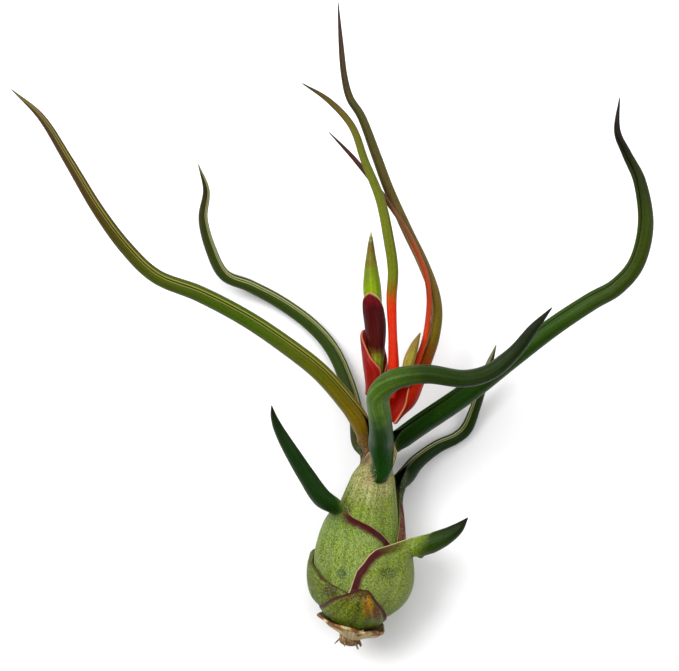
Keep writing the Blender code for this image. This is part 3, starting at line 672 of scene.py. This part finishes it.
# The short low leaf on the right: it leaves the bulb behind the neck and rests on the table.
RIGHT_BACK = {
    "name": "leaf_right_back",
    "margins": [(0, 62, 185), (4, 60, 180), (4.6, 74, 168), (5.1, 94, 146), (5.9, 100, 138)],
    "joins": (4.4, 5.7),
    "foot": [(119, 0.3, 2.6), (120, 1.1, 2.3)],
    "midline": [(10.6, 19.4, 7.4, 2.15),
                (13.4, 22.6, 4.9, 1.85), (18.1, 25.9, 2.4, 1.6), (22.6, 28.0, 1.4, 1.45),
                (25.2, 30.4, 1.6, 1.5), (27.0, 35.0, 3.4, 1.3), (28.4, 39.8, 6.8, 1.15),
                (29.9, 45.3, 11.0, 0.9), (31.4, 50.3, 15.0, 0.12)],
    "back": [(0, (0.85, 0.0, -0.5)), (3, (0.4, -0.5, -0.7)), (9, (0.3, -0.3, -0.8))],
}
lay_leaf(RIGHT_BACK, leaf_skin(
    "right_back_green",
    sheath=[(-8, (130, 150, 60)), (-2.3, (160, 140, 80)), (-1.7, (130, 46, 40)),
            (-0.9, (104, 28, 28)), (-0.5, (50, 44, 18)), (0, (22, 46, 8))],
    blade=[(-1, (50, 44, 18)), (-0.2, (16, 40, 4)), (3, (24, 52, 2)), (7, (40, 58, 8)),
           (9, (40, 40, 22))],
    seam=((190, 194, 130), 0.8, 9.0), meal=(0.35, 0.03), seed=17.0))


# The low leaf to the left: glossy dark green, with the pale lips of its slit on top, and it
# too rests on the table where it turns.
LEFT_BACK = {
    "name": "leaf_left_back",
    "margins": [(0, -238, -124), (3.6, -236, -124), (4.4, -206, -124), (5.6, -204, -128),
                (6.2, -188, -136), (7.0, -182, -140)],
    "joins": (5.6, 6.8),
    "foot": [(-162, 0.4, 2.4), (-160, 0.9, 2.1)],
    "midline": [(-0.6, 27.3, 7.0, 1.9),
                (-1.2, 32.9, 4.6, 1.8), (-3.0, 40.0, 3.0, 1.75), (-6.6, 48.5, 2.0, 1.7),
                (-11.8, 54.8, 1.6, 1.65), (-19.2, 60.3, 2.2, 1.6), (-26.6, 64.3, 4.5, 1.5),
                (-32.6, 66.9, 7.5, 1.4), (-35.7, 73.1, 11.0, 1.3), (-37.2, 79.9, 15.0, 1.1),
                (-36.3, 86.3, 18.0, 0.8), (-38.0, 92.2, 21.0, 0.12)],
    "back": [(0, (-0.35, 0.0, -0.95)), (3, (-0.7, -0.2, -0.7)), (13, (-0.5, -0.3, -0.7))],
}
lay_leaf(LEFT_BACK, leaf_skin(
    "left_back_green",
    sheath=[(-8, (120, 140, 60)), (-1, (60, 84, 20))],
    blade=[(-1, (50, 80, 12)), (1, (60, 66, 10)), (4, (58, 82, 8)), (8, (56, 74, 10)),
           (10, (62, 64, 24)), (12, (50, 28, 24))],
    seam=((196, 196, 130), 0.8, 12.0), seed=23.0))


# The left outer sheath with its short dark horn: mealy grey green, with a wide purple band
# along its free edge. It overlaps the front leaf's cone.
LEFT_HORN = {
    "name": "leaf_left_horn",
    "margins": [(0, -158, 30), (1.2, -154, 40), (2, -143, 44), (3.8, -143, 42), (4.0, -136, 34),
                (4.15, -128, 24), (4.3, -118, 11), (4.46, -106, -4), (4.6, -97, -18),
                (4.75, -89, -32)],
    "bulges": [(3.2, -80, 0.8, 1.0, 50), (4.4, 5, 0.15, 0.4, 30)],
    "joins": (3.7, 4.75), "hold": 0.62,
    "foot": [(-62, 0.0, 3.6), (-58, 0.2, 2.75)],
    "midline": [(-9.4, 15.1, 21.3, 2.35), (-12.8, 20.1, 24.0, 2.05), (-16.3, 25.9, 27.0, 1.7),
                (-18.9, 30.6, 29.0, 1.25), (-20.2, 33.9, 31.0, 0.75), (-20.7, 36.6, 33.0, 0.12)],
    "back": [(0, (-0.85, -0.1, 0.5)), (2, (-0.8, -0.4, 0.45)), (7, (-0.6, -0.5, 0.2))],
}
lay_leaf(LEFT_HORN, leaf_skin(
    "left_horn_grey_green",
    sheath=[(-8, (124, 142, 44)), (-3, (126, 148, 50)), (-1.4, (134, 156, 52)), (0, (112, 142, 34))],
    blade=[(-1, (60, 92, 24)), (0.6, (26, 62, 8)), (3, (22, 56, 8)), (5, (28, 48, 12)),
           (6, (20, 24, 14))],
    tongue=(-0.9, 0.8, 1.2), meal=(0.66, 0.05), film=(0.2, 0.0),
    band=(2.1, (70, 12, 16), -3.4, 0.0), rim=(0.35, (190, 160, 120), 0.2),
    patches=[((-4.9, -2.6, 23.0), (1.4, 1.2, 6.0), (50, 84, 14), 0.8)],
    streaks=(0.3, 34.0), seed=29.0))


# The swollen sheath at the lower left: its short blade stays behind the bulb.
LEFT_LOW = {
    "name": "leaf_left_low",
    "margins": [(0, -200, -4), (1.0, -180, -4), (1.5, -158, -4), (1.86, -148, -4),
                (1.93, -146, -8), (2.0, -145, -20), (2.07, -144, -31), (2.16, -143, -41),
                (2.32, -143, -53), (2.48, -143, -70), (2.62, -144, -94), (2.76, -147, -118),
                (2.9, -150, -132), (3.2, -152, -138)],
    "bulges": [(1.6, -78, 0.5, 0.6, 45), (2.3, -60, 0.35, 0.4, 40)],
    "joins": (2.5, 3.2),
    "foot": [(-142, 0.0, 1.6), (-145, 0.5, 1.2)],
    "midline": [(-7.0, 4.9, 2.7, 1.2), (-6.2, 7.8, 2.4, 0.8), (-5.6, 10.4, 2.4, 0.12)],
    "back": [(0, (-0.7, 0.0, -0.75)), (2, (-0.5, -0.3, -0.7)), (5, (-0.3, -0.2, -0.9))],
}
lay_leaf(LEFT_LOW, leaf_skin(
    "left_low_yellow_green",
    sheath=[(-8, (118, 136, 36)), (-3, (130, 148, 40)), (-1.4, (122, 140, 40)), (0, (90, 110, 30))],
    blade=[(-1, (80, 100, 30)), (1, (40, 70, 20)), (3, (30, 40, 20))],
    meal=(0.5, 0.05), film=(0.06, 0.0), band=(0.6, (70, 40, 16), -3.2, -0.6),
    patches=[((-7.3, -6.4, 20.0), (2.0, 2.0, 8.0), (76, 60, 16), 0.85)],
    streaks=(0.4, 30.0), seed=31.0))


# The right outer sheath: its left edge crosses the bulb as a purple line, its short blade is a
# horn to the right, and the plant lies on its underside.
RIGHT_LOW = {
    "name": "leaf_right_low",
    "margins": [(0, -28, 168), (1, -22, 176), (2.05, -9, 186), (2.68, -5, 187), (3.05, 2, 187),
                (3.2, 4, 176), (3.36, 7, 160), (3.6, 14, 148), (3.8, 22, 137), (3.98, 32, 126)],
    "bulges": [(2.3, 84, 1.4, 0.9, 50)],
    "joins": (2.85, 3.65), "slant": (0.35, 2.4, 3.1), "hold": 0.42,
    "foot": [(76, -0.4, 4.8), (76, 1.6, 3.2)],
    "midline": [(16.4, 4.3, 18.0, 2.4), (19.6, 5.9, 19.4, 1.95), (22.3, 7.9, 20.8, 1.3),
                (24.4, 10.4, 22.6, 0.12)],
    "back": [(0, (0.7, -0.4, 0.5)), (1, (0.5, -0.6, 0.6)), (2, (0.3, -0.8, 0.5)),
             (6, (0.4, -0.8, 0.3))],
}
lay_leaf(RIGHT_LOW, leaf_skin(
    "right_low_grey_green",
    sheath=[(-8, (150, 162, 96)), (-2.6, (144, 160, 74)), (-1.0, (130, 150, 26)), (0, (124, 148, 8))],
    blade=[(-0.6, (92, 118, 8)), (0.8, (46, 72, 6)), (2, (36, 60, 6)), (4, (24, 26, 14))],
    tongue=(-0.5, 0.9, 1.4), meal=(0.6, 0.04), film=(0.22, 0.0),
    band=(2.1, (70, 12, 16), -3.4, -0.25), rim=(0.35, (196, 176, 128), 0.6),
    patches=[((5.8, -2.4, 21.0), (2.4, 1.6, 8.0), (70, 88, 14), 0.7)],
    streaks=(0.3, 34.0), seed=37.0))


# The smallest, oldest leaf: a moss green scale over the base with a dried dark edge and an
# orange patch where it is dying back.
BASAL = {
    "name": "leaf_basal",
    "margins": [(0, -78, 60), (0.8, -72, 58), (1.2, -58, 50), (1.4, -45, 44), (1.55, -37, 38),
                (1.7, -31, 32), (1.9, -20, 22), (2.05, -7, 16), (2.2, 3, 10)],
    "rim": [(-1.0, 2.2), (1.0, 2.2)],
    "bulges": [(0.4, 55, 0.8, 0.6, 50)],
}
COLLAR_ROWS = 40


def even_skin(name, colours, meal=0.0, film=0.0, mottle=0.3, rough=0.36, **finish):
    """Skin of a leaf or bract that is one tissue from its foot to its tip."""
    return leaf_skin(name, colours, colours, meal=(meal, meal), film=(film, film),
                     mottle=(mottle, mottle), rough=(rough, rough), **finish)


def lay_collar(leaf, material, ragged=0.0):
    """A leaf that is only a sheath. rim: how high it reaches at places across it; it may be torn."""
    shares = across_steps(LEAF_STEPS_ACROSS)
    rows = []
    for climb in steps(0.0, 1.0, COLLAR_ROWS):
        outer = []
        inner = []
        for across in shares:
            tear = math.sin(9.0 * across + 1.0) + 0.6 * math.sin(23.0 * across)
            top = table_at(leaf["rim"], across)[0]
            out, within = sheath_row(leaf, climb * top * (1.0 + ragged * tear), [across])
            outer.append(out[0])
            inner.append(within[0])
        rows.append(((climb - 1.0) * leaf["margins"][-1][0], outer, inner))
    put(leaf["name"], skin_mesh(leaf["name"], rows, shares), material)
    layers.append(leaf)


lay_collar(BASAL, even_skin(
    "basal_moss_green",
    [(-8, (120, 140, 10)), (-1.6, (118, 138, 8)), (-0.5, (112, 124, 20)), (0, (100, 60, 30))],
    meal=0.3, mottle=0.8, rough=0.5, band=(0.9, (74, 28, 24), -2.4, 1.0),
    patches=[((1.3, -9.8, 22.0), (1.5, 3.2, 8.0), (196, 132, 14), 0.85),
             ((3.3, -11.4, 20.0), (1.3, 2.4, 8.0), (128, 50, 20), 0.85)],
    streaks=(0.45, 26.0), seed=41.0))


# Dry leaf bases: a papery tan cup that is all that is left of older leaves, torn at its edge.
DRY = {
    "name": "dry_sheath", "spread": 6.0,
    "margins": [(0, -165, 145), (0.6, -158, 138), (1.2, -145, 125)],
    "rim": [(-1.0, 0.6), (-0.6, 0.7), (-0.35, 0.85), (0.0, 0.98), (0.35, 0.8), (0.6, 0.66),
            (1.0, 0.6)],
    "bulges": [(0.3, 62, 1.3, 0.5, 55), (0.2, -30, 0.3, 0.6, 60)],
}
lay_collar(DRY, even_skin(
    "dry_leaf_tan",
    [(-1.2, (206, 176, 110)), (-0.5, (236, 214, 160)), (-0.08, (240, 214, 160)), (0, (150, 96, 56))],
    meal=0.1, mottle=0.12, rough=0.75, inside=(84, 46, 28), streaks=(0.45, 44.0), seed=43.0),
    ragged=0.05)


# The woody stub that the leaves grow from, with a few stiff old roots.
STUB = [(-2.6, 1.4), (-2.0, 2.2), (0.0, 2.5), (3.0, 2.5), (7.0, 2.5), (10.0, 2.2), (11.6, 1.2)]
ROOTS = [(30, 2.0, 0.7), (75, 1.4, -0.3), (110, 1.6, -0.5), (200, 1.5, 0.3), (300, 1.8, -0.8),
         (345, 1.6, 0.4)]
STUB_SIDES = 24
STUB_ROWS_PER_POINT = 3
ROOT_DEPTH = -1.1
ROOT_CIRCLE = 2.3
ROOT_PARTS = 5
FIRST_TAPER = 0.72
ROOT_TAPER = 0.86


def wood_material():
    """Dry brown stem tissue: fibrous and matt, from dark to pale along its grain."""
    material, tree, shader, spot = begin_material("dry_stem_brown")
    long = node(tree, "Mapping", {"Vector": spot, "Scale": (2.2, 0.5, 2.2)}).outputs[0]
    grain = node(tree, "TexNoise", {"Vector": long, "Scale": 1.0, "Detail": 5.0}).outputs[0]
    colour = ramp(tree, grain, [(0.3, shade(78, 48, 26)), (0.5, shade(140, 100, 60)),
                                (0.7, shade(206, 176, 128))])
    relief = node(tree, "Bump", {"Height": grain, "Strength": 0.9, "Distance": 0.3 * MM})
    fill(tree, shader, {"Base Color": colour, "Roughness": 0.8, "Normal": relief.outputs[0]})
    return material


def build_stub():
    """A cylinder shaped into the stub, with roots drawn out of its end."""
    mesh = bmesh.new()
    rise = len(STUB) - 1
    bmesh.ops.create_cone(mesh, cap_ends=True, segments=STUB_SIDES, radius1=1.0, radius2=1.0,
                          depth=1.0)
    sides = [edge for edge in mesh.edges if abs(edge.verts[0].co.z - edge.verts[1].co.z) > 0.5]
    bmesh.ops.subdivide_edges(mesh, edges=sides, cuts=rise * STUB_ROWS_PER_POINT - 1)
    for vert in mesh.verts:
        along, radius = curve_at(STUB, (vert.co.z + 0.5) * rise)
        turn = math.atan2(vert.co.y, vert.co.x)
        radius *= 1.0 + 0.06 * math.sin(5.0 * turn) + 0.05 * math.sin(11.0 * turn + along)
        vert.co = (BULB_BASE + AXIS * along + outward(math.degrees(turn)) * radius) * MM
    for angle, length, lean in ROOTS:
        spot = (BULB_BASE + AXIS * ROOT_DEPTH + outward(angle) * ROOT_CIRCLE) * MM
        face = min(mesh.faces, key=lambda f: (f.calc_center_median() - spot).length)
        for part in range(ROOT_PARTS):
            face = bmesh.ops.extrude_discrete_faces(mesh, faces=[face])["faces"][0]
            heading = outward(angle) - AXIS * (1.2 + 0.15 * part)
            heading = (heading + outward(angle + 90) * lean * part * 0.3).normalized()
            bmesh.ops.translate(mesh, verts=face.verts, vec=heading * (length / ROOT_PARTS) * MM)
            middle = face.calc_center_median()
            for vert in face.verts:
                vert.co = middle + (vert.co - middle) * (FIRST_TAPER if part == 0 else ROOT_TAPER)
    return smooth_mesh("stem_base", mesh)


put("stem_base", build_stub(), wood_material())


# The flower stem: a plain green stalk from the middle of the bulb to the foot of the spike.
# Only its top shows, between the leaf bases.
STALK = [(-0.9, -5.0, 13.0, 1.2), (0.6, 6.0, 13.9, 1.2), (2.4, 17.0, 14.5, 1.1),
         (3.6, 25.0, 15.1, 1.05), (4.4, 30.0, 16.4, 1.05), (4.6, 34.4, 18.0, 1.0),
         (3.8, 38.2, 19.4, 0.9), (3.1, 40.6, 20.1, 0.75)]
STALK_STEPS_ACROSS = 24
STALK_ROWS_PER_POINT = 8
STALK_WALL = 0.9
STALK_REACH = 179.0

stalk_shares = steps(-1.0, 1.0, STALK_STEPS_ACROSS)
stalk_rows = []
stalk_top = len(STALK) - 1
for where in steps(0.0, stalk_top, stalk_top * STALK_ROWS_PER_POINT):
    row = blade_row(STALK, [(0, (0, 0, 1))], where, stalk_shares, STALK_WALL, STALK_REACH)
    stalk_rows.append((where - stalk_top, *row))
put("flower_stem", skin_mesh("flower_stem", stalk_rows, stalk_shares), leaf_skin(
    "stalk_green", sheath=[(-8, (120, 140, 60)), (0, (130, 120, 50))],
    blade=[(-8, (120, 140, 60)), (0, (150, 90, 40))], tongue=(-2.0, 0.0, 1.0), meal=(0.1, 0.1),
    film=(0.0, 0.0), seed=47.0))


# Leaves of the flower stem: slim rolled blades whose open feet have flushed red, as this
# species does when it flowers.
BRACT_TALL = {
    "name": "bract_leaf_tall", "open_to": 4.0,
    "midline": [(6.2, 32.6, 15.6, 2.0), (7.6, 35.2, 15.8, 2.6), (9.9, 38.4, 16.6, 3.2),
                (12.2, 42.2, 18.2, 2.5), (14.4, 46.8, 20.2, 1.9), (16.4, 51.9, 22.2, 1.45),
                (17.2, 57.7, 23.6, 1.3), (16.3, 63.0, 25.0, 1.3), (13.8, 69.4, 26.0, 1.3),
                (10.0, 77.2, 27.0, 1.25), (6.1, 85.9, 27.0, 1.2), (3.3, 93.4, 27.0, 1.15),
                (-0.1, 102.3, 28.0, 1.0), (-2.9, 106.8, 29.0, 0.9), (-4.2, 111.8, 31.0, 0.75),
                (-4.9, 118.4, 33.0, 0.6), (-5.6, 127.8, 36.0, 0.12)],
    "back": [(0, (0.5, -0.3, -0.8)), (4, (0.8, -0.2, -0.5)), (8, (0.7, 0.2, -0.6)),
             (16, (0.4, 0.2, -0.8))],
}
BRACT_MID = {
    "name": "bract_leaf_mid", "open_to": 2.0,
    "midline": [(6.4, 38.0, 22.0, 1.1), (7.0, 41.5, 22.8, 1.3), (7.2, 45.5, 23.4, 1.3),
                (7.0, 52.6, 24.2, 1.05), (6.7, 60.7, 25.4, 1.2), (7.0, 67.5, 27.4, 1.25),
                (6.0, 74.3, 29.4, 1.25), (4.0, 83.4, 31.4, 1.15), (0.5, 91.9, 33.4, 1.0),
                (-2.4, 99.7, 35.2, 0.85), (-7.6, 105.4, 37.0, 0.65), (-13.7, 109.3, 38.0, 0.12)],
    "back": [(0, (0.6, 0.3, 0.7)), (4, (0.7, 0.0, 0.6)), (11, (0.7, 0.2, -0.5))],
}
BRACT_SLIM = {
    "name": "bract_leaf_slim", "open_to": 2.0,
    "midline": [(10.0, 40.6, 20.9, 0.8), (11.2, 43.4, 21.8, 0.85), (12.8, 47.0, 22.9, 0.8),
                (14.1, 50.6, 24.0, 0.7), (14.9, 54.6, 24.9, 0.65), (15.3, 60.7, 26.9, 0.62),
                (14.5, 66.2, 28.4, 0.6), (12.2, 72.1, 29.2, 0.6), (9.1, 78.0, 29.6, 0.6),
                (5.6, 83.2, 29.2, 0.6), (1.7, 88.4, 29.6, 0.6), (-2.6, 93.6, 30.0, 0.5),
                (-7.7, 98.9, 30.4, 0.12)],
    "back": [(0, (0.7, -0.3, 0.5)), (6, (0.5, 0.0, -0.8)), (12, (0.5, 0.2, -0.8))],
}
BRACT_STEPS_ACROSS = 24
BRACT_OPEN_REACH = 95.0
BRACT_FOOT_WALL = 0.2
BRACT_WALL_GAIN = 0.4


def lay_bract_leaf(bract, material):
    """A rolled leaf whose foot is an open sheath up to its step open_to."""
    shares = across_steps(BRACT_STEPS_ACROSS)
    opened = bract["open_to"]
    last = len(bract["midline"]) - 1
    rows = []
    for where in steps(0.0, last, last * ROWS_PER_POINT):
        wall = BRACT_FOOT_WALL + BRACT_WALL_GAIN * smooth(0.5 * opened, opened + 1.0, where)
        rolled = smooth(0.5, opened + 0.5, where)
        reach = BRACT_OPEN_REACH + (ROLLED_REACH - BRACT_OPEN_REACH) * rolled
        row = blade_row(bract["midline"], bract["back"], where, shares, wall, reach,
                        LIP_TUCK * rolled)
        rows.append((where, *row))
    put(bract["name"], skin_mesh(bract["name"], rows, shares), material)


lay_bract_leaf(BRACT_TALL, even_skin(
    "tall_bract_red",
    [(0, (214, 18, 2)), (3.2, (216, 44, 6)), (4.2, (150, 66, 10)), (4.9, (120, 94, 14)),
     (5.6, (116, 100, 18)), (8, (126, 98, 44)), (10, (98, 82, 34)), (12, (84, 82, 38)),
     (14, (84, 70, 44)), (16, (80, 52, 56))],
    inside=(214, 30, 8), open_to=4.0, rim=(0.4, (236, 170, 120), 3.6),
    seam=((226, 170, 110), 0.7, 8.0), streaks=(0.2, 22.0), seed=53.0))
lay_bract_leaf(BRACT_MID, even_skin(
    "mid_bract_orange_red",
    [(0, (222, 36, 4)), (3.7, (236, 44, 4)), (4.3, (150, 110, 16)), (5.0, (122, 132, 22)),
     (8, (112, 118, 30)), (9.6, (110, 92, 34)), (11, (62, 50, 30))],
    film=0.02, inside=(230, 90, 40), seam=((240, 180, 120), 0.7, 7.0), streaks=(0.2, 22.0),
    seed=59.0))
lay_bract_leaf(BRACT_SLIM, even_skin(
    "slim_bract_orange",
    [(0, (222, 60, 24)), (4, (218, 64, 26)), (6, (190, 70, 34)), (8, (120, 80, 44)),
     (10, (100, 60, 50)), (12, (72, 42, 44))],
    film=0.02, inside=(230, 90, 40), streaks=(0.2, 14.0), seed=61.0))


# The main flower spike: a green bud bract in a maroon one in a red one, each wrapped round
# the next, with thin cream edges.
SPIKE_LINE = [(3.1, 41.0, 20.2), (3.15, 49.1, 21.0), (3.0, 56.1, 21.6), (2.3, 63.0, 22.2),
              (2.0, 70.0, 22.8), (2.0, 76.5, 23.2)]
BRACT_EDGE = 0.22
BRACT_WALL = 0.6
THIN_EDGE_SHARE = 0.75
BUD_HOLLOW = 0.2
SPIKE_STEPS_ACROSS = 36
SPIKE_ROWS_PER_POINT = 8
GREEN_ROWS = [(0.1, 0.5, 168), (0.6, 0.85, 168), (1.0, 1.05, 168), (1.6, 1.45, 168),
              (2.3, 1.85, 168), (2.8, 2.1, 168), (3.2, 2.05, 168), (3.7, 1.6, 168),
              (4.2, 1.05, 168), (4.6, 0.65, 168), (5.0, 0.12, 168)]
MAROON_ROWS = [(0.15, 0.95, 160), (0.6, 1.25, 155), (1.0, 1.45, 146), (1.5, 1.8, 130),
               (1.9, 2.0, 108), (2.15, 2.14, 90), (2.35, 2.24, 78), (2.52, 2.32, 66),
               (2.67, 2.4, 54), (2.8, 2.46, 39), (2.9, 2.5, 22), (2.97, 2.5, 5)]
RED_ROWS = [(-0.3, 1.85, 168), (0.0, 1.8, 168), (0.3, 2.1, 166), (0.5, 2.35, 156),
            (0.66, 2.5, 132), (0.85, 2.65, 106), (1.1, 2.85, 86), (1.35, 3.0, 62), (1.55, 3.05, 34),
            (1.66, 3.05, 10)]


def lay_spike_bract(name, profile, back, bud, material):
    """A bract wrapped round the spike's line. profile: (place, gap to the line, half angle).
    The bud is all but solid."""
    shares = across_steps(SPIKE_STEPS_ACROSS)
    last = len(profile) - 1
    rows = []
    for step in steps(0.0, last, last * SPIKE_ROWS_PER_POINT):
        place_along, radius, half = curve_at(profile, step)
        centre = Vector(curve_at(SPIKE_LINE, place_along))
        along = (Vector(curve_at(SPIKE_LINE, place_along + LOOK_AHEAD))
                 - Vector(curve_at(SPIKE_LINE, place_along - LOOK_AHEAD))).normalized()
        out = Vector(back)
        out = (out - along * out.dot(along)).normalized()
        side = along.cross(out)
        outer = []
        inner = []
        for share in shares:
            turn = math.radians(half * share)
            spoke = out * math.cos(turn) + side * math.sin(turn)
            edge = smooth(THIN_EDGE_SHARE, 1.0, abs(share))
            wall = BRACT_WALL + (BRACT_EDGE - BRACT_WALL) * edge
            outer.append(centre + spoke * (radius if bud else radius + wall))
            inner.append(centre + spoke * (radius * BUD_HOLLOW if bud else radius))
        rows.append((place_along, outer, inner))
    put(name, skin_mesh(name, rows, shares), material)


lay_spike_bract("bract_green", GREEN_ROWS, (0.0, 0.0, 1.0), True, even_skin(
    "bud_bract_green",
    [(0, (100, 120, 30)), (3.0, (150, 182, 0)), (3.6, (134, 156, 2)), (4.2, (134, 108, 20)),
     (4.6, (122, 100, 40)), (4.72, (206, 216, 150)), (5, (222, 230, 180))],
    rough=0.3, streaks=(0.35, 26.0), rim=(0.6, (214, 220, 150), 9.0), seed=67.0))
lay_spike_bract("bract_maroon", MAROON_ROWS, (-0.25, -0.1, 1.0), False, even_skin(
    "middle_bract_maroon",
    [(0, (140, 150, 36)), (0.6, (140, 150, 36)), (0.9, (108, 80, 24)), (1.25, (80, 14, 10)),
     (2.4, (76, 2, 6)), (3, (120, 10, 18))],
    rough=0.34, streaks=(0.35, 26.0), inside=(150, 60, 40), open_to=9.0,
    rim=(0.75, (226, 190, 132), 9.0), seed=71.0))
lay_spike_bract("bract_red", RED_ROWS, (-0.72, 0.0, -0.69), False, even_skin(
    "outer_bract_red",
    [(0, (150, 30, 14)), (0.8, (168, 14, 14)), (1.8, (120, 10, 14))],
    rough=0.34, streaks=(0.3, 26.0), inside=(190, 60, 40), open_to=9.0,
    rim=(0.5, (206, 110, 80), 9.0), seed=73.0))


# The side spike: a small yellow olive bud between the red sheath and the slim bract leaf.
SIDE_SPIKE = [(9.5, 41.2, 22.9, 0.5), (10.0, 43.4, 23.9, 1.0), (10.8, 46.8, 25.0, 1.3),
              (12.0, 50.2, 26.0, 0.95), (13.3, 53.2, 27.0, 0.12)]
SIDE_ROWS_PER_POINT = 12
SIDE_WALL = 0.6
SIDE_REACH = 165.0

side_shares = across_steps(BRACT_STEPS_ACROSS)
side_rows = []
side_top = len(SIDE_SPIKE) - 1
for where in steps(0.0, side_top, side_top * SIDE_ROWS_PER_POINT):
    row = blade_row(SIDE_SPIKE, [(0, (0.2, -0.2, 1.0))], where, side_shares, SIDE_WALL, SIDE_REACH)
    side_rows.append((where, *row))
put("bract_side", skin_mesh("bract_side", side_rows, side_shares), even_skin(
    "side_bud_yellow_olive",
    [(0, (196, 120, 50)), (2, (186, 168, 66)), (4, (150, 110, 50))],
    streaks=(0.35, 20.0), seed=79.0))


# White table, soft studio light and the camera straight above, as in the photograph.
CAMERA_PLACE = Vector((-5.27, 52.5, 615.0))
PHOTO_LENS = 135.9
PHOTO_SENSOR = 36.0
TABLE_HALF_WIDTH = 1200.0


def build_table():
    """A plain white sheet that reaches far past the view."""
    mesh = bmesh.new()
    bmesh.ops.create_grid(mesh, x_segments=2, y_segments=2, size=TABLE_HALF_WIDTH * MM)
    data = bpy.data.meshes.new("table")
    mesh.to_mesh(data)
    mesh.free()
    material = bpy.data.materials.new("white_table")
    material.use_nodes = True
    fill(material.node_tree, material.node_tree.nodes["Principled BSDF"], {
        "Base Color": (0.86, 0.86, 0.87, 1.0), "Roughness": 0.7, "Specular IOR Level": 0.2})
    data.materials.append(material)
    table = bpy.data.objects.new("table", data)
    bpy.context.scene.collection.objects.link(table)


def add_light(name, place_mm, aim_mm, size_mm, power):
    """A square soft box."""
    light = bpy.data.lights.new(name, "AREA")
    light.shape = "SQUARE"
    light.size = size_mm * MM
    light.energy = power
    lamp = bpy.data.objects.new(name, light)
    lamp.location = Vector(place_mm) * MM
    lamp.rotation_euler = (Vector(aim_mm) - Vector(place_mm)).to_track_quat("-Z", "Y").to_euler()
    bpy.context.scene.collection.objects.link(lamp)


build_table()
add_light("key_soft_box", (-420, 250, 620), (0, 40, 10), 420, 6.4)
add_light("fill_soft_box", (460, 60, 560), (0, 40, 10), 520, 2.6)
add_light("top_soft_box", (-20, 420, 700), (0, 50, 10), 500, 3.4)

world = bpy.data.worlds.new("studio")
world.use_nodes = True
fill(world.node_tree, world.node_tree.nodes["Background"], {
    "Color": (1.0, 0.99, 0.97, 1.0), "Strength": 0.16})
bpy.context.scene.world = world
bpy.context.scene.view_settings.view_transform = "Standard"
bpy.context.scene.view_settings.look = "None"

lens = bpy.data.cameras.new("photo_camera")
lens.lens = PHOTO_LENS
lens.sensor_width = PHOTO_SENSOR
lens.sensor_fit = "HORIZONTAL"
lens.clip_start = 0.01
camera = bpy.data.objects.new("photo_camera", lens)
camera.location = CAMERA_PLACE * MM
bpy.context.scene.collection.objects.link(camera)
bpy.context.scene.camera = camera
